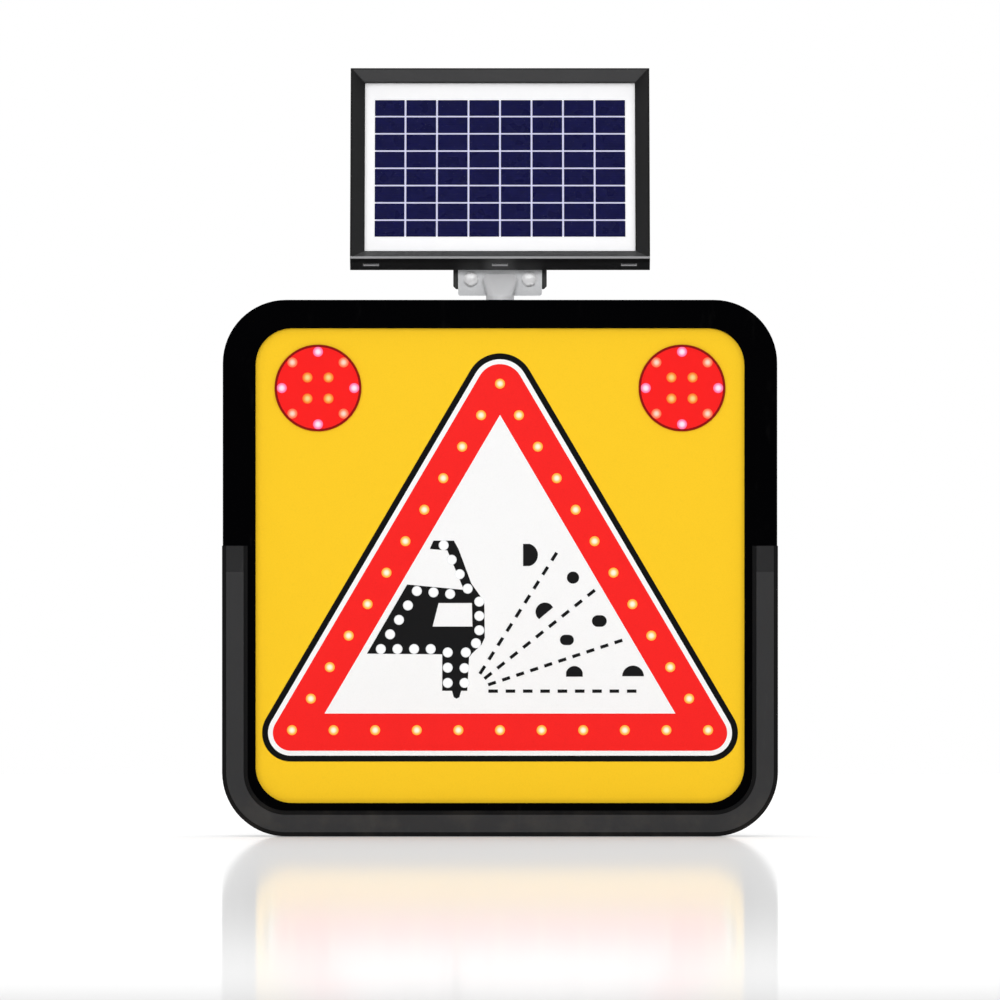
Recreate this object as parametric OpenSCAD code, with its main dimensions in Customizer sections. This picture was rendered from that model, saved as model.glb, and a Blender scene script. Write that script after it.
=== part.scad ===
// Solar powered LED warning sign: a flat case with a lit face, a small solar panel
// on a swivelling mast, a battery hatch and pole clamps on the back.
// X runs across the face, the face looks along -Y, and Z = 0 is the surface it stands on.

/* [Case] */
// Width of the case
case_w = 600; // [590:1:620]
// Height from the ground to the top of the case
case_h = 580.6; // [575:0.1:600]
// Depth of the case, front to back
case_d = 90; // [84:1:100]
// Outer corner radius of the case
case_r = 68.5; // [60:0.5:72]
// Thickness of the side and back walls
wall = 3.5; // [3:0.5:4]
// Depth of the front frame
frame_d = 18; // [16:1:20]

/* [Window] */
// Width of the yellow window
window_w = 529; // [520:1:535]
// Height of the yellow window
window_h = 513.8; // [505:0.1:520]
// Height of the window's lower edge above the ground
window_z = 36; // [34:0.5:40]
// Corner radius of the window
window_r = 39.5; // [34:0.5:44]

/* [Guard] */
// Height at which the guard ends on both sides
guard_top = 314.5; // [280:0.5:340]
// How far the guard stands out of the case
guard_proud = 0.8; // [0.4:0.1:1.2]
// Width of the grey strip let into the guard
strip_w = 19; // [15:0.5:20]

/* [Triangle] */
// Height of the point where the triangle's outer sides would meet
tri_apex_z = 558.8; // [550:0.1:562]
// Height of the triangle's outer lower edge
tri_base_z = 80.9; // [76:0.1:90]
// Half of the angle at the top of the triangle
tri_half_angle = 30.43; // [30:0.01:31]
// Radius of the outer corner at the top
tri_top_r = 37; // [34:0.5:40]
// Radius of the two outer corners at the bottom
tri_low_r = 31; // [28:0.5:34]
// Width of the black outer line
tri_black_w = 6.4; // [5:0.1:8]
// Width of the white line inside it
tri_white_w = 5.2; // [4:0.1:6]
// Inset of the white centre from the outer edge
tri_centre_inset = 52; // [48:0.5:56]

/* [Lights] */
// Diameter of an LED lens
led_d = 10; // [9:0.5:10]
// Height of an LED from its board to the tip of its dome
led_h = 13.5; // [13:0.1:13.6]
// Height of the LED in the triangle's top corner
led_apex_z = 489.9; // [486:0.1:494]
// Height of the triangle's lower row of LEDs
led_base_z = 114.9; // [112:0.1:118]
// Distance of the lower corner LEDs from the middle
led_base_x = 225.2; // [220:0.1:228]
// Diameter of a flasher disc
flasher_d = 94; // [90:1:96]
// Distance of the flasher discs from the middle
flasher_x = 197; // [190:1:200]
// Height of the flasher discs
flasher_z = 485.2; // [480:0.1:490]
// Radius of a flasher's outer ring of LEDs
flasher_ring_r = 39.2; // [38:0.1:39.5]

/* [Mast] */
// Outer diameter of the mast tube
mast_d = 27; // [25:0.5:28]
// Distance of the mast's axis from the middle of the case's depth, forwards
mast_forward = 5; // [3:0.5:5]
// Width of the steel plate on the mast's head
plate_w = 91; // [86:1:96]
// Distance between the two bolts on the plate
yoke_bolt_gap = 63; // [58:1:66]

/* [Panel] */
// Width of the solar panel
panel_w = 325; // [315:1:335]
// Height of the solar panel along its face
panel_h = 230; // [222:1:240]
// Thickness of the solar panel's frame
panel_t = 30; // [28:1:32]
// Angle by which the panel leans back as stored
panel_lean = 25; // [22:1:28]
// Gap between the case and the panel's lower back edge
panel_gap = 32.5; // [32:0.5:34]
// Columns and rows of solar cells
cell_grid = 8; // [6:1:9]

/* [Back] */
// Length of the two clamp rails
rail_l = 420; // [400:5:440]
// Height of the upper rail's middle
upper_rail_z = 430; // [425:1:440]
// Height of the lower rail's middle
lower_rail_z = 235; // [230:1:245]
// Diameter of the pole that the clamps hold
pole_d = 60.3; // [58:0.1:60.3]

/* [Hidden] */
$fn = 48;
far = 1000;
eps = 0.01;

front_y = -case_d / 2;
back_y = case_d / 2;
gasket_t = 2;
split_y = front_y + frame_d;
shell_y = split_y + gasket_t;
shell_d = back_y - shell_y;
inner_back_y = back_y - wall;
rebate = 3;
guard_lip_t = 2;
guard_lip_w = 27;
guard_back_lip_w = 10;
strip_inset = 4.4;
strip_t = 1.5;
strip_sunk = 1.2;
cap_l = 28;

lip_t = 5;
sheet_y = front_y + lip_t;
sheet_t = 0.4;
plate_t = 3;
plate_margin = 8;
film_t = 0.3;
disc_t = 1.5;
rim_w = 2.5;
led_hole_r = led_d / 2 + 0.4;
board_y = sheet_y - 4.5 + led_h;
board_t = 1.6;
spacer_y = sheet_y + sheet_t + plate_t;

boss_in = 14.5;
boss_r = 5.5;
screw_r = 2;

mast_y = -mast_forward;
mast_wall = 2.5;
mast_foot_z = 480;
run_gap = 0.05;
bush_r = 18;
head_w = 38;
head_t = 6;
head_z = 608.8;
head_start_z = case_h + 3;
collar_r = 15.2;
collar_h = 4.9;
collar_gap = 0.1;
steel_t = 4;
plate_y = mast_y + mast_d / 2;
plate_z = case_h + 5.2;
plate_top_z = 620;
yoke_y = plate_y + steel_t;
yoke_z = case_h + 12.3;
yoke_w = 101.5;
yoke_wall = 5;
yoke_bolt_z = 603.5;

panel_y = plate_y - 18.5;
panel_z = case_h + panel_gap;
pivot_out = 20;
pivot_up = 40;
pivot_y = panel_y + pivot_out * cos(panel_lean) + pivot_up * sin(panel_lean);
pivot_z = panel_z - pivot_out * sin(panel_lean) + pivot_up * cos(panel_lean);
pivot_r = 4;
ear_r = 12;
panel_rim = 2;
glass_sink = 10;
glass_side = 16;
glass_end = 13.8;
glass_t = 3.2;
groove = 2;
cell_w = 274;
cell_h = 167;
cell_line = 2;

hatch = [-254.5, 40, 179.5, 150];
hatch_mouth = [-245, 50, 160, 130];
hatch_y = back_y + 1.5;
hatch_t = 3.5;
hinge_x = -260;
hinge_y = back_y + 5;
hinge_pin_r = 2;
knuckle_r = 4.5;
knuckle_l = 24;
knuckle_gap = 0.4;
lock_x = -98;
lock_z = hatch[1] + hatch[3] / 2;
lock_r = 9;

battery = [150, 50, 100];
battery_x = -240;
battery_y = -15;
tray_z = 54;
tray_t = 3;
tray_rim_t = 2;
tray_back_y = 41;
tray_post = 12;
battery_z = tray_z + tray_t;
terminal = [8, 6, 5];
terminal_in = 18;

board_x = 60;
board_z = 265;
board_w = 140;
board_h = 100;
post_l = 9.4;

switch_x = 150;
switch_z = 130;
switch_w = 27;
switch_h = 21;
switch_d = 18;
switch_lip = 2;
rocker_tilt = 8;

rail_h = 40;
rail_t = 20;
rail_wall = 2.5;
rail_slot = 14;
rail_bolt_x = 180;
saddle_w = 116;
saddle_h = 36;
pole_y = back_y + rail_t + 38;
clamp_bolt_x = 46;
strap_t = 3;
strap_ear_y = pole_y - 8;

// ---- helpers ----

// Solid of thickness t behind the plane y, from a drawing whose axes are X and Z
module slab(y, t) {
    translate([0, y + t, 0]) rotate([90, 0, 0]) linear_extrude(t) children();
}

// Cylinder along +Y that starts at the given point
module rod(p, r, l) {
    translate(p) rotate([-90, 0, 0]) cylinder(r = r, h = l);
}

// Cylinder along X, centred on the given point
module cross_rod(p, r, l) {
    translate(p) rotate([0, 90, 0]) cylinder(r = r, h = l, center = true);
}

module rounded(w, h, r) {
    square([w - 2 * r, h], center = true);
    square([w, h - 2 * r], center = true);
    for (sx = [-1, 1], sz = [-1, 1]) translate([sx * (w / 2 - r), sz * (h / 2 - r)]) circle(r);
}

module below_guard_top(raise = 0) {
    translate([-far, -far]) square([2 * far, far + guard_top + raise]);
}

module outline(inset) {
    h = case_h - guard_proud;
    translate([0, case_h - h / 2]) rounded(case_w - 2 * inset, h - 2 * inset, case_r - inset);
}

// The case's outline, which steps in below the guard's top by the guard's rebate
module body_outline(inset) {
    difference() {
        outline(inset);
        below_guard_top();
    }
    intersection() {
        outline(inset + rebate);
        below_guard_top();
    }
}

// Room inside the case, which steps a wall's thickness above the outside, so that the walls stay joined
module cavity(inset) {
    difference() {
        outline(inset);
        below_guard_top(wall);
    }
    intersection() {
        outline(inset + rebate);
        below_guard_top(wall);
    }
}

// U-shaped band between two insets of the outline, below the guard's top
module guard_band(outer, inner) {
    intersection() {
        difference() {
            outline(outer);
            outline(inner);
        }
        below_guard_top();
    }
}

module window(grow) {
    translate([0, window_z + window_h / 2])
        rounded(window_w + 2 * grow, window_h + 2 * grow, window_r + grow);
}

function tri_apex(inset) = tri_apex_z - inset / sin(tri_half_angle);
function tri_base(inset) = tri_base_z + inset;
function tri_half(inset) = (tri_apex(inset) - tri_base(inset)) * tan(tri_half_angle);

// Warning triangle inset from its outer edge, with rounded corners concentric with the outer ones
module triangle(inset) {
    top_r = max(tri_top_r - inset, 0);
    low_r = max(tri_low_r - inset, 0);
    low_angle = (90 - tri_half_angle) / 2;
    top_run = top_r / tan(tri_half_angle);
    low_run = low_r / tan(low_angle);
    half = tri_half(inset);
    side = [sin(tri_half_angle), cos(tri_half_angle)];
    apex = [0, tri_apex(inset)];
    corner = [half, tri_base(inset)];
    top_point = apex + top_run * [side[0], -side[1]];
    low_point = corner + low_run * [-side[0], side[1]];
    foot = corner - [low_run, 0];
    right = [foot, low_point, top_point];
    left = [for (i = [2:-1:0]) [-right[i][0], right[i][1]]];
    polygon(concat(right, left));
    if (top_r > 0) {
        translate([0, apex[1] - top_r / sin(tri_half_angle)]) circle(top_r);
    }
    if (low_r > 0) {
        for (s = [-1, 1]) translate([s * foot[0], foot[1] + low_r]) circle(low_r);
    }
}

module triangle_ring(outer, inner) {
    difference() {
        triangle(outer);
        triangle(inner);
    }
}

// Points evenly spaced on a line, both ends included
function spaced(a, b, n) = [for (i = [0:n - 1]) a + (b - a) * i / max(n - 1, 1)];

side_leds = 11;
base_leds = 10;
led_apex = [0, led_apex_z];
led_right = [led_base_x, led_base_z];
led_left = [-led_base_x, led_base_z];
function on_edge(a, b, n) = [for (i = [0:n - 1]) a + (b - a) * i / n];
tri_led_places = concat(
    on_edge(led_apex, led_right, side_leds),
    on_edge(led_right, led_left, base_leds),
    on_edge(led_left, led_apex, side_leds)
);

// Stretches of lights round the skidding car: start, end and number of lights
car_light_runs = [
    [[-61, 315], [-35, 268], 4], [[-22.4, 254], [-22.4, 223], 3], [[-26, 209], [-37, 199], 2],
    [[-38.4, 182], [-38.4, 166], 2], [[-56.6, 166], [-56.6, 199], 3], [[-75, 202.7], [-129, 202.7], 4],
    [[-119, 218.6], [-90, 265.5], 4], [[-72, 264], [-54, 262.3], 2]
];
car_led_places = [for (run = car_light_runs) each spaced(run[0], run[1], run[2])];

flasher_centres = [[-flasher_x, flasher_z], [flasher_x, flasher_z]];
core_step = 11.4;
ring_led_places = [for (c = flasher_centres, i = [0:7]) c + flasher_ring_r * [cos(45 * i), sin(45 * i)]];
core_led_places = [for (c = flasher_centres, s = [[-1, -1], [1, -1], [-1, 1], [1, 1]]) c + core_step * s];
flasher_led_places = concat(ring_led_places, core_led_places);

module holes(places, r) {
    for (p = places) translate(p) circle(r);
}

module led() {
    rotate_extrude($fn = 32) {
        square([led_d / 2, led_h - led_d / 2]);
        square([led_d / 2 + 0.8, 1]);
        intersection() {
            translate([0, led_h - led_d / 2]) circle(led_d / 2, $fn = 32);
            square([led_d, led_h]);
        }
    }
}

module leds(places) {
    for (p = places) translate([p[0], board_y, p[1]]) rotate([90, 0, 0]) led();
}

// Hexagon head with a washer under it, on the side of the plane at z = 0 that faces +Z
module hex_head(across, h, washer_r, washer_t) {
    cylinder(r = washer_r, h = washer_t);
    translate([0, 0, washer_t]) cylinder(r = across / sqrt(3), h = h, $fn = 6);
}

corner_in = case_r - boss_in;
corner_x = case_w / 2 - case_r + corner_in * cos(45);
corner_top = case_h - case_r + corner_in * sin(45);
corner_low = guard_proud + case_r - corner_in * sin(45);
boss_places = [
    [corner_x, corner_top], [-corner_x, corner_top], [corner_x, corner_low], [-corner_x, corner_low],
    [case_w / 2 - boss_in, case_h / 2], [boss_in - case_w / 2, case_h / 2],
    [110, case_h - boss_in], [-110, case_h - boss_in], [110, boss_in + guard_proud + rebate / 2],
    [-110, boss_in + guard_proud + rebate / 2]
];

// ---- case ----

module front_frame() {
    color("#0b0b0c") {
        difference() {
            slab(front_y, frame_d) body_outline(0);
            slab(front_y - 1, lip_t + 2) window(0);
            slab(front_y + lip_t, frame_d) cavity(wall);
            slab(front_y - 1, guard_lip_t + 1) guard_band(-1, guard_lip_w);
        }
        difference() {
            for (p = boss_places) rod([p[0], front_y + lip_t - eps, p[1]], boss_r, frame_d - lip_t);
            for (p = boss_places) rod([p[0], front_y + lip_t + 2, p[1]], screw_r, frame_d);
        }
    }
}

module lower_guard() {
    color("#101011") difference() {
        union() {
            slab(front_y - guard_proud, case_d + 2 * guard_proud) guard_band(-guard_proud, rebate);
            slab(front_y - guard_proud, guard_lip_t + guard_proud) guard_band(-guard_proud, guard_lip_w);
            slab(back_y - guard_lip_t, guard_lip_t + guard_proud)
                guard_band(-guard_proud, guard_back_lip_w);
        }
        slab(front_y - guard_proud - 1, strip_sunk + 1) strip_outline();
    }
}

module strip_outline() {
    outer = strip_inset - guard_proud;
    guard_band(outer, outer + strip_w);
}

module guard_strip() {
    color("#343436") slab(front_y - guard_proud + strip_sunk - strip_t, strip_t) difference() {
        strip_outline();
        translate([-far, guard_top - cap_l]) square([2 * far, cap_l]);
    }
}

module guard_end_caps() {
    color("#262627") slab(front_y - guard_proud + strip_sunk - strip_t, strip_t) intersection() {
        strip_outline();
        translate([-far, guard_top - cap_l]) square([2 * far, cap_l]);
    }
}

module case_gasket() {
    color("#1c1c1e") slab(split_y, gasket_t) difference() {
        body_outline(0.4);
        cavity(wall);
    }
}

module rear_shell() {
    color("#0d0d0e") difference() {
        union() {
            difference() {
                slab(shell_y, shell_d) body_outline(0);
                slab(shell_y - 1, shell_d - wall + 1) cavity(wall);
                slab(back_y - guard_lip_t, guard_lip_t + 1) guard_band(-1, guard_back_lip_w);
            }
            for (p = boss_places) rod([p[0], shell_y, p[1]], boss_r, shell_d - wall + eps);
            for (x = [10, board_w - 10], z = [10, board_h - 10])
                rod([board_x + x, inner_back_y - post_l, board_z + z], 4, post_l + eps);
        }
        for (p = boss_places) rod([p[0], shell_y - 1, p[1]], screw_r + 0.3, shell_d + 2);
        for (x = [10, board_w - 10], z = [10, board_h - 10])
            rod([board_x + x, inner_back_y - post_l - 1, board_z + z], 1.3, post_l);
        translate([hatch_mouth[0], inner_back_y - 1, hatch_mouth[1]])
            cube([hatch_mouth[2], wall + 2, hatch_mouth[3]]);
        translate([switch_x - switch_w / 2 - 0.2, inner_back_y - 1, switch_z - switch_h / 2 - 0.2])
            cube([switch_w + 0.4, wall + 2, switch_h + 0.4]);
        translate([0, mast_y, case_h - wall - 1]) cylinder(r = bush_r, h = wall + 2);
        for (p = back_bolt_places) rod([p[0], inner_back_y - 1, p[1]], 3.2, wall + 2);
    }
}

module case_screws() {
    color("#b9bcc0") for (p = boss_places) {
        rod([p[0], split_y - 8, p[1]], screw_r, back_y - split_y + 8);
        rod([p[0], back_y, p[1]], 4, 2.4);
    }
}

// ---- lit face ----

module face_plate() {
    color("#c9ccd0") slab(sheet_y + sheet_t, plate_t) difference() {
        window(plate_margin);
        holes(tri_led_places, led_hole_r);
        holes(car_led_places, led_hole_r);
        holes(flasher_led_places, led_hole_r);
    }
}

module yellow_sheeting() {
    color("#fecd21") slab(sheet_y, sheet_t) difference() {
        window(plate_margin);
        holes(tri_led_places, led_hole_r);
        holes(car_led_places, led_hole_r);
        holes(flasher_led_places, led_hole_r);
    }
}

module triangle_black_film() {
    color("#060807") slab(sheet_y - film_t, film_t) triangle_ring(0, tri_black_w);
}

module triangle_white_film() {
    color("#fafafa") slab(sheet_y - film_t, film_t) triangle_ring(tri_black_w, tri_black_w + tri_white_w);
}

module triangle_red_film() {
    color("#fa211f") slab(sheet_y - film_t, film_t) difference() {
        triangle_ring(tri_black_w + tri_white_w, tri_centre_inset);
        holes(tri_led_places, led_hole_r);
    }
}

module triangle_centre_film() {
    color("#fafafa") slab(sheet_y - film_t, film_t) difference() {
        triangle(tri_centre_inset);
        holes(car_led_places, led_hole_r);
    }
}

module car_shape() {
    difference() {
        polygon([
            [-76, 311], [-72, 320], [-50, 320], [-45, 311], [-31, 273.5], [-21.7, 260.5], [-17, 252],
            [-16.5, 215], [-20, 207.5], [-30.4, 197.7], [-33.5, 194], [-35.5, 157.5], [-42, 157.5],
            [-44, 150.5], [-47, 149], [-50, 150.5], [-52, 157.5], [-62.5, 157.5], [-62.5, 197],
            [-144, 197.7], [-100.5, 272.5], [-39, 266.7], [-57, 309.5]
        ]);
        polygon([[-66.5, 252.5], [-30.4, 252.5], [-29.8, 227], [-73, 227]]);
    }
}

// Dashes along a spray line: start, end, number of dashes and their share of the pitch
module spray(a, b, n) {
    run = b - a;
    length = norm(run);
    pitch = length / (n - 0.4);
    translate(a) rotate(atan2(run[1], run[0])) for (i = [0:n - 1])
        translate([i * pitch, -1.75]) square([pitch * 0.55, 3.5]);
}

module stone(x, z, w, h, turn) {
    translate([x, z]) rotate(turn) {
        square([w - h, h], center = true);
        for (s = [-1, 1]) translate([s * (w - h) / 2, 0]) circle(h / 2);
    }
}

// Stone with a flat side: the part of a circle beyond a chord
module flat_stone(x, z, w, h, turn) {
    r = (w * w / 4 + h * h) / (2 * h);
    translate([x, z]) rotate(turn) intersection() {
        translate([0, h / 2 - r]) circle(r);
        translate([-w / 2, -h / 2]) square([w, h]);
    }
}

module pictogram_film() {
    color("#161616") slab(sheet_y - 2 * film_t, film_t) {
        difference() {
            car_shape();
            holes(car_led_places, led_hole_r);
        }
        spray([-21.8, 175.8], [61.9, 307.7], 9);
        spray([-16.8, 170.6], [103.3, 267], 9);
        spray([-12.8, 164], [133.1, 212.5], 10);
        spray([-12.6, 157.1], [148.6, 157.1], 9);
        flat_stone(33, 304.5, 24, 16, -90);
        stone(79, 280, 13.2, 13, 0);
        flat_stone(46, 246, 20, 12, 40);
        stone(107.5, 233, 16, 12.5, 0);
        stone(72.4, 212.5, 15, 11.2, 0);
        flat_stone(80.5, 178.5, 18, 11.5, 0);
        flat_stone(144, 179, 23.5, 11.5, 0);
    }
}

module flasher_discs() {
    color("#d81f1a") slab(sheet_y - disc_t, disc_t) difference() {
        holes(flasher_centres, flasher_d / 2 - rim_w);
        holes(flasher_led_places, led_hole_r);
    }
}

module flasher_rims() {
    color("#7c120f") slab(sheet_y - disc_t - 0.5, disc_t + 0.5) difference() {
        holes(flasher_centres, flasher_d / 2);
        holes(flasher_centres, flasher_d / 2 - rim_w);
    }
}

module triangle_leds() {
    color("#ffe9b0") leds(tri_led_places);
}

module pictogram_leds() {
    color("#ffffff") leds(car_led_places);
}

module flasher_ring_leds() {
    color("#ffe0ea") leds(ring_led_places);
}

module flasher_core_leds() {
    color("#ffe08a") leds(core_led_places);
}

led_line_inset = 32;
board_half = 11;
board_split = 1.5;
module triangle_led_boards() {
    color("#1e6b3a") slab(board_y, board_t) difference() {
        triangle_ring(led_line_inset - board_half, led_line_inset + board_half);
        for (x = [30 - led_base_x, led_base_x - 30])
            translate([x, led_base_z]) square([board_split, 3 * board_half], center = true);
        translate([0, led_apex_z]) square([board_split, 8 * board_half], center = true);
        holes(tri_spacer_places, 1.6);
    }
}

module pictogram_led_board() {
    color("#1e6b3a") slab(board_y, board_t) difference() {
        intersection() {
            translate([-150, 142]) square([146, 190]);
            triangle(led_line_inset + board_half + 2);
        }
        holes(car_spacer_places, 1.6);
    }
}

module flasher_led_boards() {
    color("#1e6b3a") slab(board_y, board_t) difference() {
        holes(flasher_centres, flasher_d / 2);
        holes(flasher_spacer_places, 1.6);
    }
}

function between(a, b, k, n) = a + (b - a) * (k + 0.5) / n;
tri_spacer_places = concat(
    [for (k = [1, 5, 9]) between(led_apex, led_right, k, side_leds)],
    [for (k = [1, 5, 9]) between(led_apex, led_left, k, side_leds)],
    [for (k = [1, 4, 8]) between(led_left, led_right, k, base_leds)]
);
car_spacer_places = [[-142, 150], [-12, 150], [-72, 326], [-12, 324]];
flasher_spacer_places = [for (c = flasher_centres, a = [112.5, 292.5]) c + 26 * [cos(a), sin(a)]];
spacer_places = concat(tri_spacer_places, car_spacer_places, flasher_spacer_places);

module board_spacers() {
    color("#d6d2c4") difference() {
        for (p = spacer_places) rod([p[0], spacer_y, p[1]], 3, board_y - spacer_y);
        for (p = spacer_places) rod([p[0], spacer_y + 1, p[1]], 1.5, board_y - spacer_y);
    }
}

module board_screws() {
    color("#c4c7cb") {
        for (p = spacer_places) {
            rod([p[0], board_y - 4, p[1]], 1.5, 4 + board_t);
            rod([p[0], board_y + board_t, p[1]], 2.8, 1.8);
        }
        for (x = [10, board_w - 10], z = [10, board_h - 10]) {
            rod([board_x + x, control_y - 1.8, board_z + z], 2.8, 1.8);
            rod([board_x + x, control_y, board_z + z], 1.3, 7);
        }
    }
}

// ---- power ----

control_y = inner_back_y - post_l - board_t;

module battery_tray() {
    front = battery_y - 6;
    left = battery_x - tray_t;
    length = battery[0] + 2 * tray_t;
    depth = tray_back_y - front;
    foot_z = guard_proud + rebate + wall;
    color("#8f959b") {
        translate([left, front + tray_rim_t, tray_z]) cube([length, depth - tray_rim_t, tray_t]);
        translate([left, front, tray_z]) cube([length, tray_rim_t, 38]);
        for (x = [left - tray_rim_t, left + length]) translate([x, front, tray_z])
            cube([tray_rim_t, depth, 28]);
        for (x = [battery_x + 12, battery_x + battery[0] - 44], y = [front + 9, front + 43])
            translate([x, y, foot_z]) cube([tray_post, tray_post, tray_z - foot_z]);
    }
}

module battery_pack() {
    color("#25282c") {
        translate([battery_x, battery_y, battery_z]) cube(battery);
        for (x = [terminal_in, battery[0] - terminal_in])
            translate([battery_x + x - terminal[0] / 2, battery_y + 8, battery_z + battery[2]])
                cube(terminal);
    }
}

strap_gap = 0.3;
module battery_strap() {
    w = 25;
    t = 1.4;
    rise = battery[2] + strap_gap;
    x = battery_x + battery[0] / 2 - w / 2;
    color("#2d3a52") {
        translate([x, battery_y - strap_gap - t, battery_z]) cube([w, t, rise]);
        translate([x, battery_y + battery[1] + strap_gap, battery_z]) cube([w, t, rise]);
        translate([x, battery_y - strap_gap - t, battery_z + rise])
            cube([w, battery[1] + 2 * (strap_gap + t), t]);
    }
}

module control_board() {
    color("#175c34") difference() {
        translate([board_x, control_y, board_z]) cube([board_w, board_t, board_h]);
        for (x = [10, board_w - 10], z = [10, board_h - 10])
            rod([board_x + x, control_y - 1, board_z + z], 1.4, board_t + 2);
    }
}

// Parts that stand on the front of the control board, from a corner, a size and a colour
module on_board(x, z, w, h, t, c) {
    color(c) translate([board_x + x, control_y - t, board_z + z]) cube([w, t, h]);
}

module control_components() {
    on_board(22, 6, 96, 9, 11, "#2f8a4e"); // lower terminal block
    on_board(22, 84, 46, 9, 11, "#2f8a4e"); // upper terminal block
    on_board(24, 44, 28, 28, 9, "#b4b8bc"); // heat sink
    on_board(64, 50, 16, 16, 2, "#1a1a1a"); // controller chip
    on_board(64, 26, 10, 8, 2, "#1a1a1a"); // driver chip
    on_board(92, 26, 20, 16, 12, "#d8b23a"); // coil
    color("#2b2f6b") for (x = [92, 108, 122]) rod([board_x + x, control_y - 16, board_z + 66], 6, 16);
}

// Round wire through the given points
module wire(points, r) {
    for (i = [0:len(points) - 2]) hull() {
        translate(points[i]) sphere(r, $fn = 10);
        translate(points[i + 1]) sphere(r, $fn = 10);
    }
}

module wiring_harness() {
    plug_y = control_y - 12;
    low_z = board_z + 3.9;
    top_z = board_z + 96;
    led_y = board_y + board_t + 1.5;
    post_z = battery_z + battery[2] + terminal[2] + 2;
    plus_x = battery_x + terminal_in;
    minus_x = battery_x + battery[0] - terminal_in;
    color("#8c1d18") wire([
        [plus_x, battery_y + 11, post_z], [plus_x, battery_y + 11, 185],
        [board_x + 30, battery_y + 11, 185], [board_x + 30, plug_y, 220], [board_x + 30, plug_y, low_z]
    ], 2);
    color("#17181a") wire([
        [minus_x, battery_y + 11, post_z], [minus_x, battery_y + 11, 178],
        [board_x + 40, battery_y + 11, 178], [board_x + 40, plug_y, 214], [board_x + 40, plug_y, low_z]
    ], 2);
    color("#17181a") wire([
        [board_x + 100, plug_y, low_z], [board_x + 100, plug_y, 215], [switch_x, 10, 150],
        [switch_x, inner_back_y - 20, switch_z + 4]
    ], 2);
    color("#d7d9da") wire([
        [board_x + 110, plug_y, low_z], [board_x + 110, -10, 230], [150, led_y + 3, 128],
        [140, led_y + 3, led_base_z], [140, led_y, led_base_z]
    ], 1.5);
    color("#d7d9da") wire([
        [board_x + 30, plug_y, top_z], [board_x + 30, -12, 390], [flasher_x, -12, 470],
        [flasher_x, led_y, 470]
    ], 1.5);
    color("#d7d9da") wire([
        [board_x + 40, plug_y, top_z], [board_x + 40, -4, 400], [-flasher_x, -4, 470],
        [-flasher_x, led_y, 470]
    ], 1.5);
    color("#d7d9da") wire([
        [board_x + 55, plug_y, low_z], [board_x + 55, -8, 250], [-20, -8, 250], [-20, led_y, 250]
    ], 1.5);
    color("#17181a") wire([
        [board_x + 60, plug_y, top_z], [board_x + 60, 12, 410], [0, 12, 440], [0, mast_y, 452],
        [0, mast_y, 474]
    ], 2.5);
}

// ---- mast seat ----

module mast_bush() {
    color("#1b1c1e") difference() {
        union() {
            translate([0, mast_y, case_h - 16]) cylinder(r = bush_r, h = 16);
            translate([0, mast_y, case_h - wall - 3]) cylinder(r = bush_r + 4, h = 3);
        }
        translate([0, mast_y, case_h - 20]) cylinder(r = mast_d / 2 + run_gap, h = 24);
    }
}

socket_z = 470;
socket_h = 62;
socket_w = 50;
socket_bolts = [for (x = [-32, 32], z = [12, socket_h - 12]) [x, socket_z + z]];
rail_bolts = [for (x = [-rail_bolt_x, rail_bolt_x], z = [upper_rail_z, lower_rail_z]) [x, z]];
back_bolt_places = concat(socket_bolts, rail_bolts);

module mast_socket() {
    color("#aeb2b6") difference() {
        union() {
            translate([-socket_w / 2, mast_y - 20, socket_z]) cube([socket_w, 38, socket_h]);
            translate([-12, mast_y + 17, socket_z]) cube([24, inner_back_y - mast_y - 22, socket_h]);
            translate([-42, inner_back_y - 6, socket_z]) cube([84, 6, socket_h]);
        }
        translate([0, mast_y, mast_foot_z - 0.4]) cylinder(r = mast_d / 2 + run_gap, h = socket_h);
        translate([0, mast_y, socket_z - 1]) cylinder(r = 9, h = 20);
        translate([-1.5, mast_y - 21, mast_foot_z]) cube([3, 12, socket_h]);
        for (p = socket_bolts) rod([p[0], inner_back_y - 7, p[1]], 3.2, 8);
    }
}

module back_wall_bolts() {
    color("#c2c5c9") {
        for (p = socket_bolts) {
            rod([p[0], inner_back_y - 9, p[1]], 3, 9 + wall);
            translate([p[0], back_y, p[1]]) rotate([-90, 0, 0]) hex_head(10, 4, 6, 1.2);
            translate([p[0], inner_back_y - 6, p[1]]) rotate([90, 0, 0]) hex_head(10, 5, 6, 1.2);
        }
        for (p = rail_bolts) {
            rod([p[0], inner_back_y - 9, p[1]], 3, 9 + wall + rail_wall);
            translate([p[0], back_y + rail_wall, p[1]]) rotate([-90, 0, 0]) hex_head(10, 4, 6, 1.2);
            translate([p[0], inner_back_y, p[1]]) rotate([90, 0, 0]) hex_head(10, 5, 9, 1.6);
        }
    }
}

// ---- rails and pole clamps ----

module rail(z) {
    color("#b8bbbf") difference() {
        translate([-rail_l / 2, back_y, z - rail_h / 2]) cube([rail_l, rail_t, rail_h]);
        translate([-rail_l, back_y + rail_wall, z - rail_h / 2 + rail_wall])
            cube([2 * rail_l, rail_t - 2 * rail_wall, rail_h - 2 * rail_wall]);
        translate([-rail_l, back_y + rail_wall, z - rail_slot / 2]) cube([2 * rail_l, rail_t, rail_slot]);
        for (x = [-rail_bolt_x, rail_bolt_x]) rod([x, back_y - 1, z], 3.2, rail_wall + 2);
    }
}

module upper_rail() {
    rail(upper_rail_z);
}

module lower_rail() {
    rail(lower_rail_z);
}

clamp_levels = [upper_rail_z, lower_rail_z];

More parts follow.
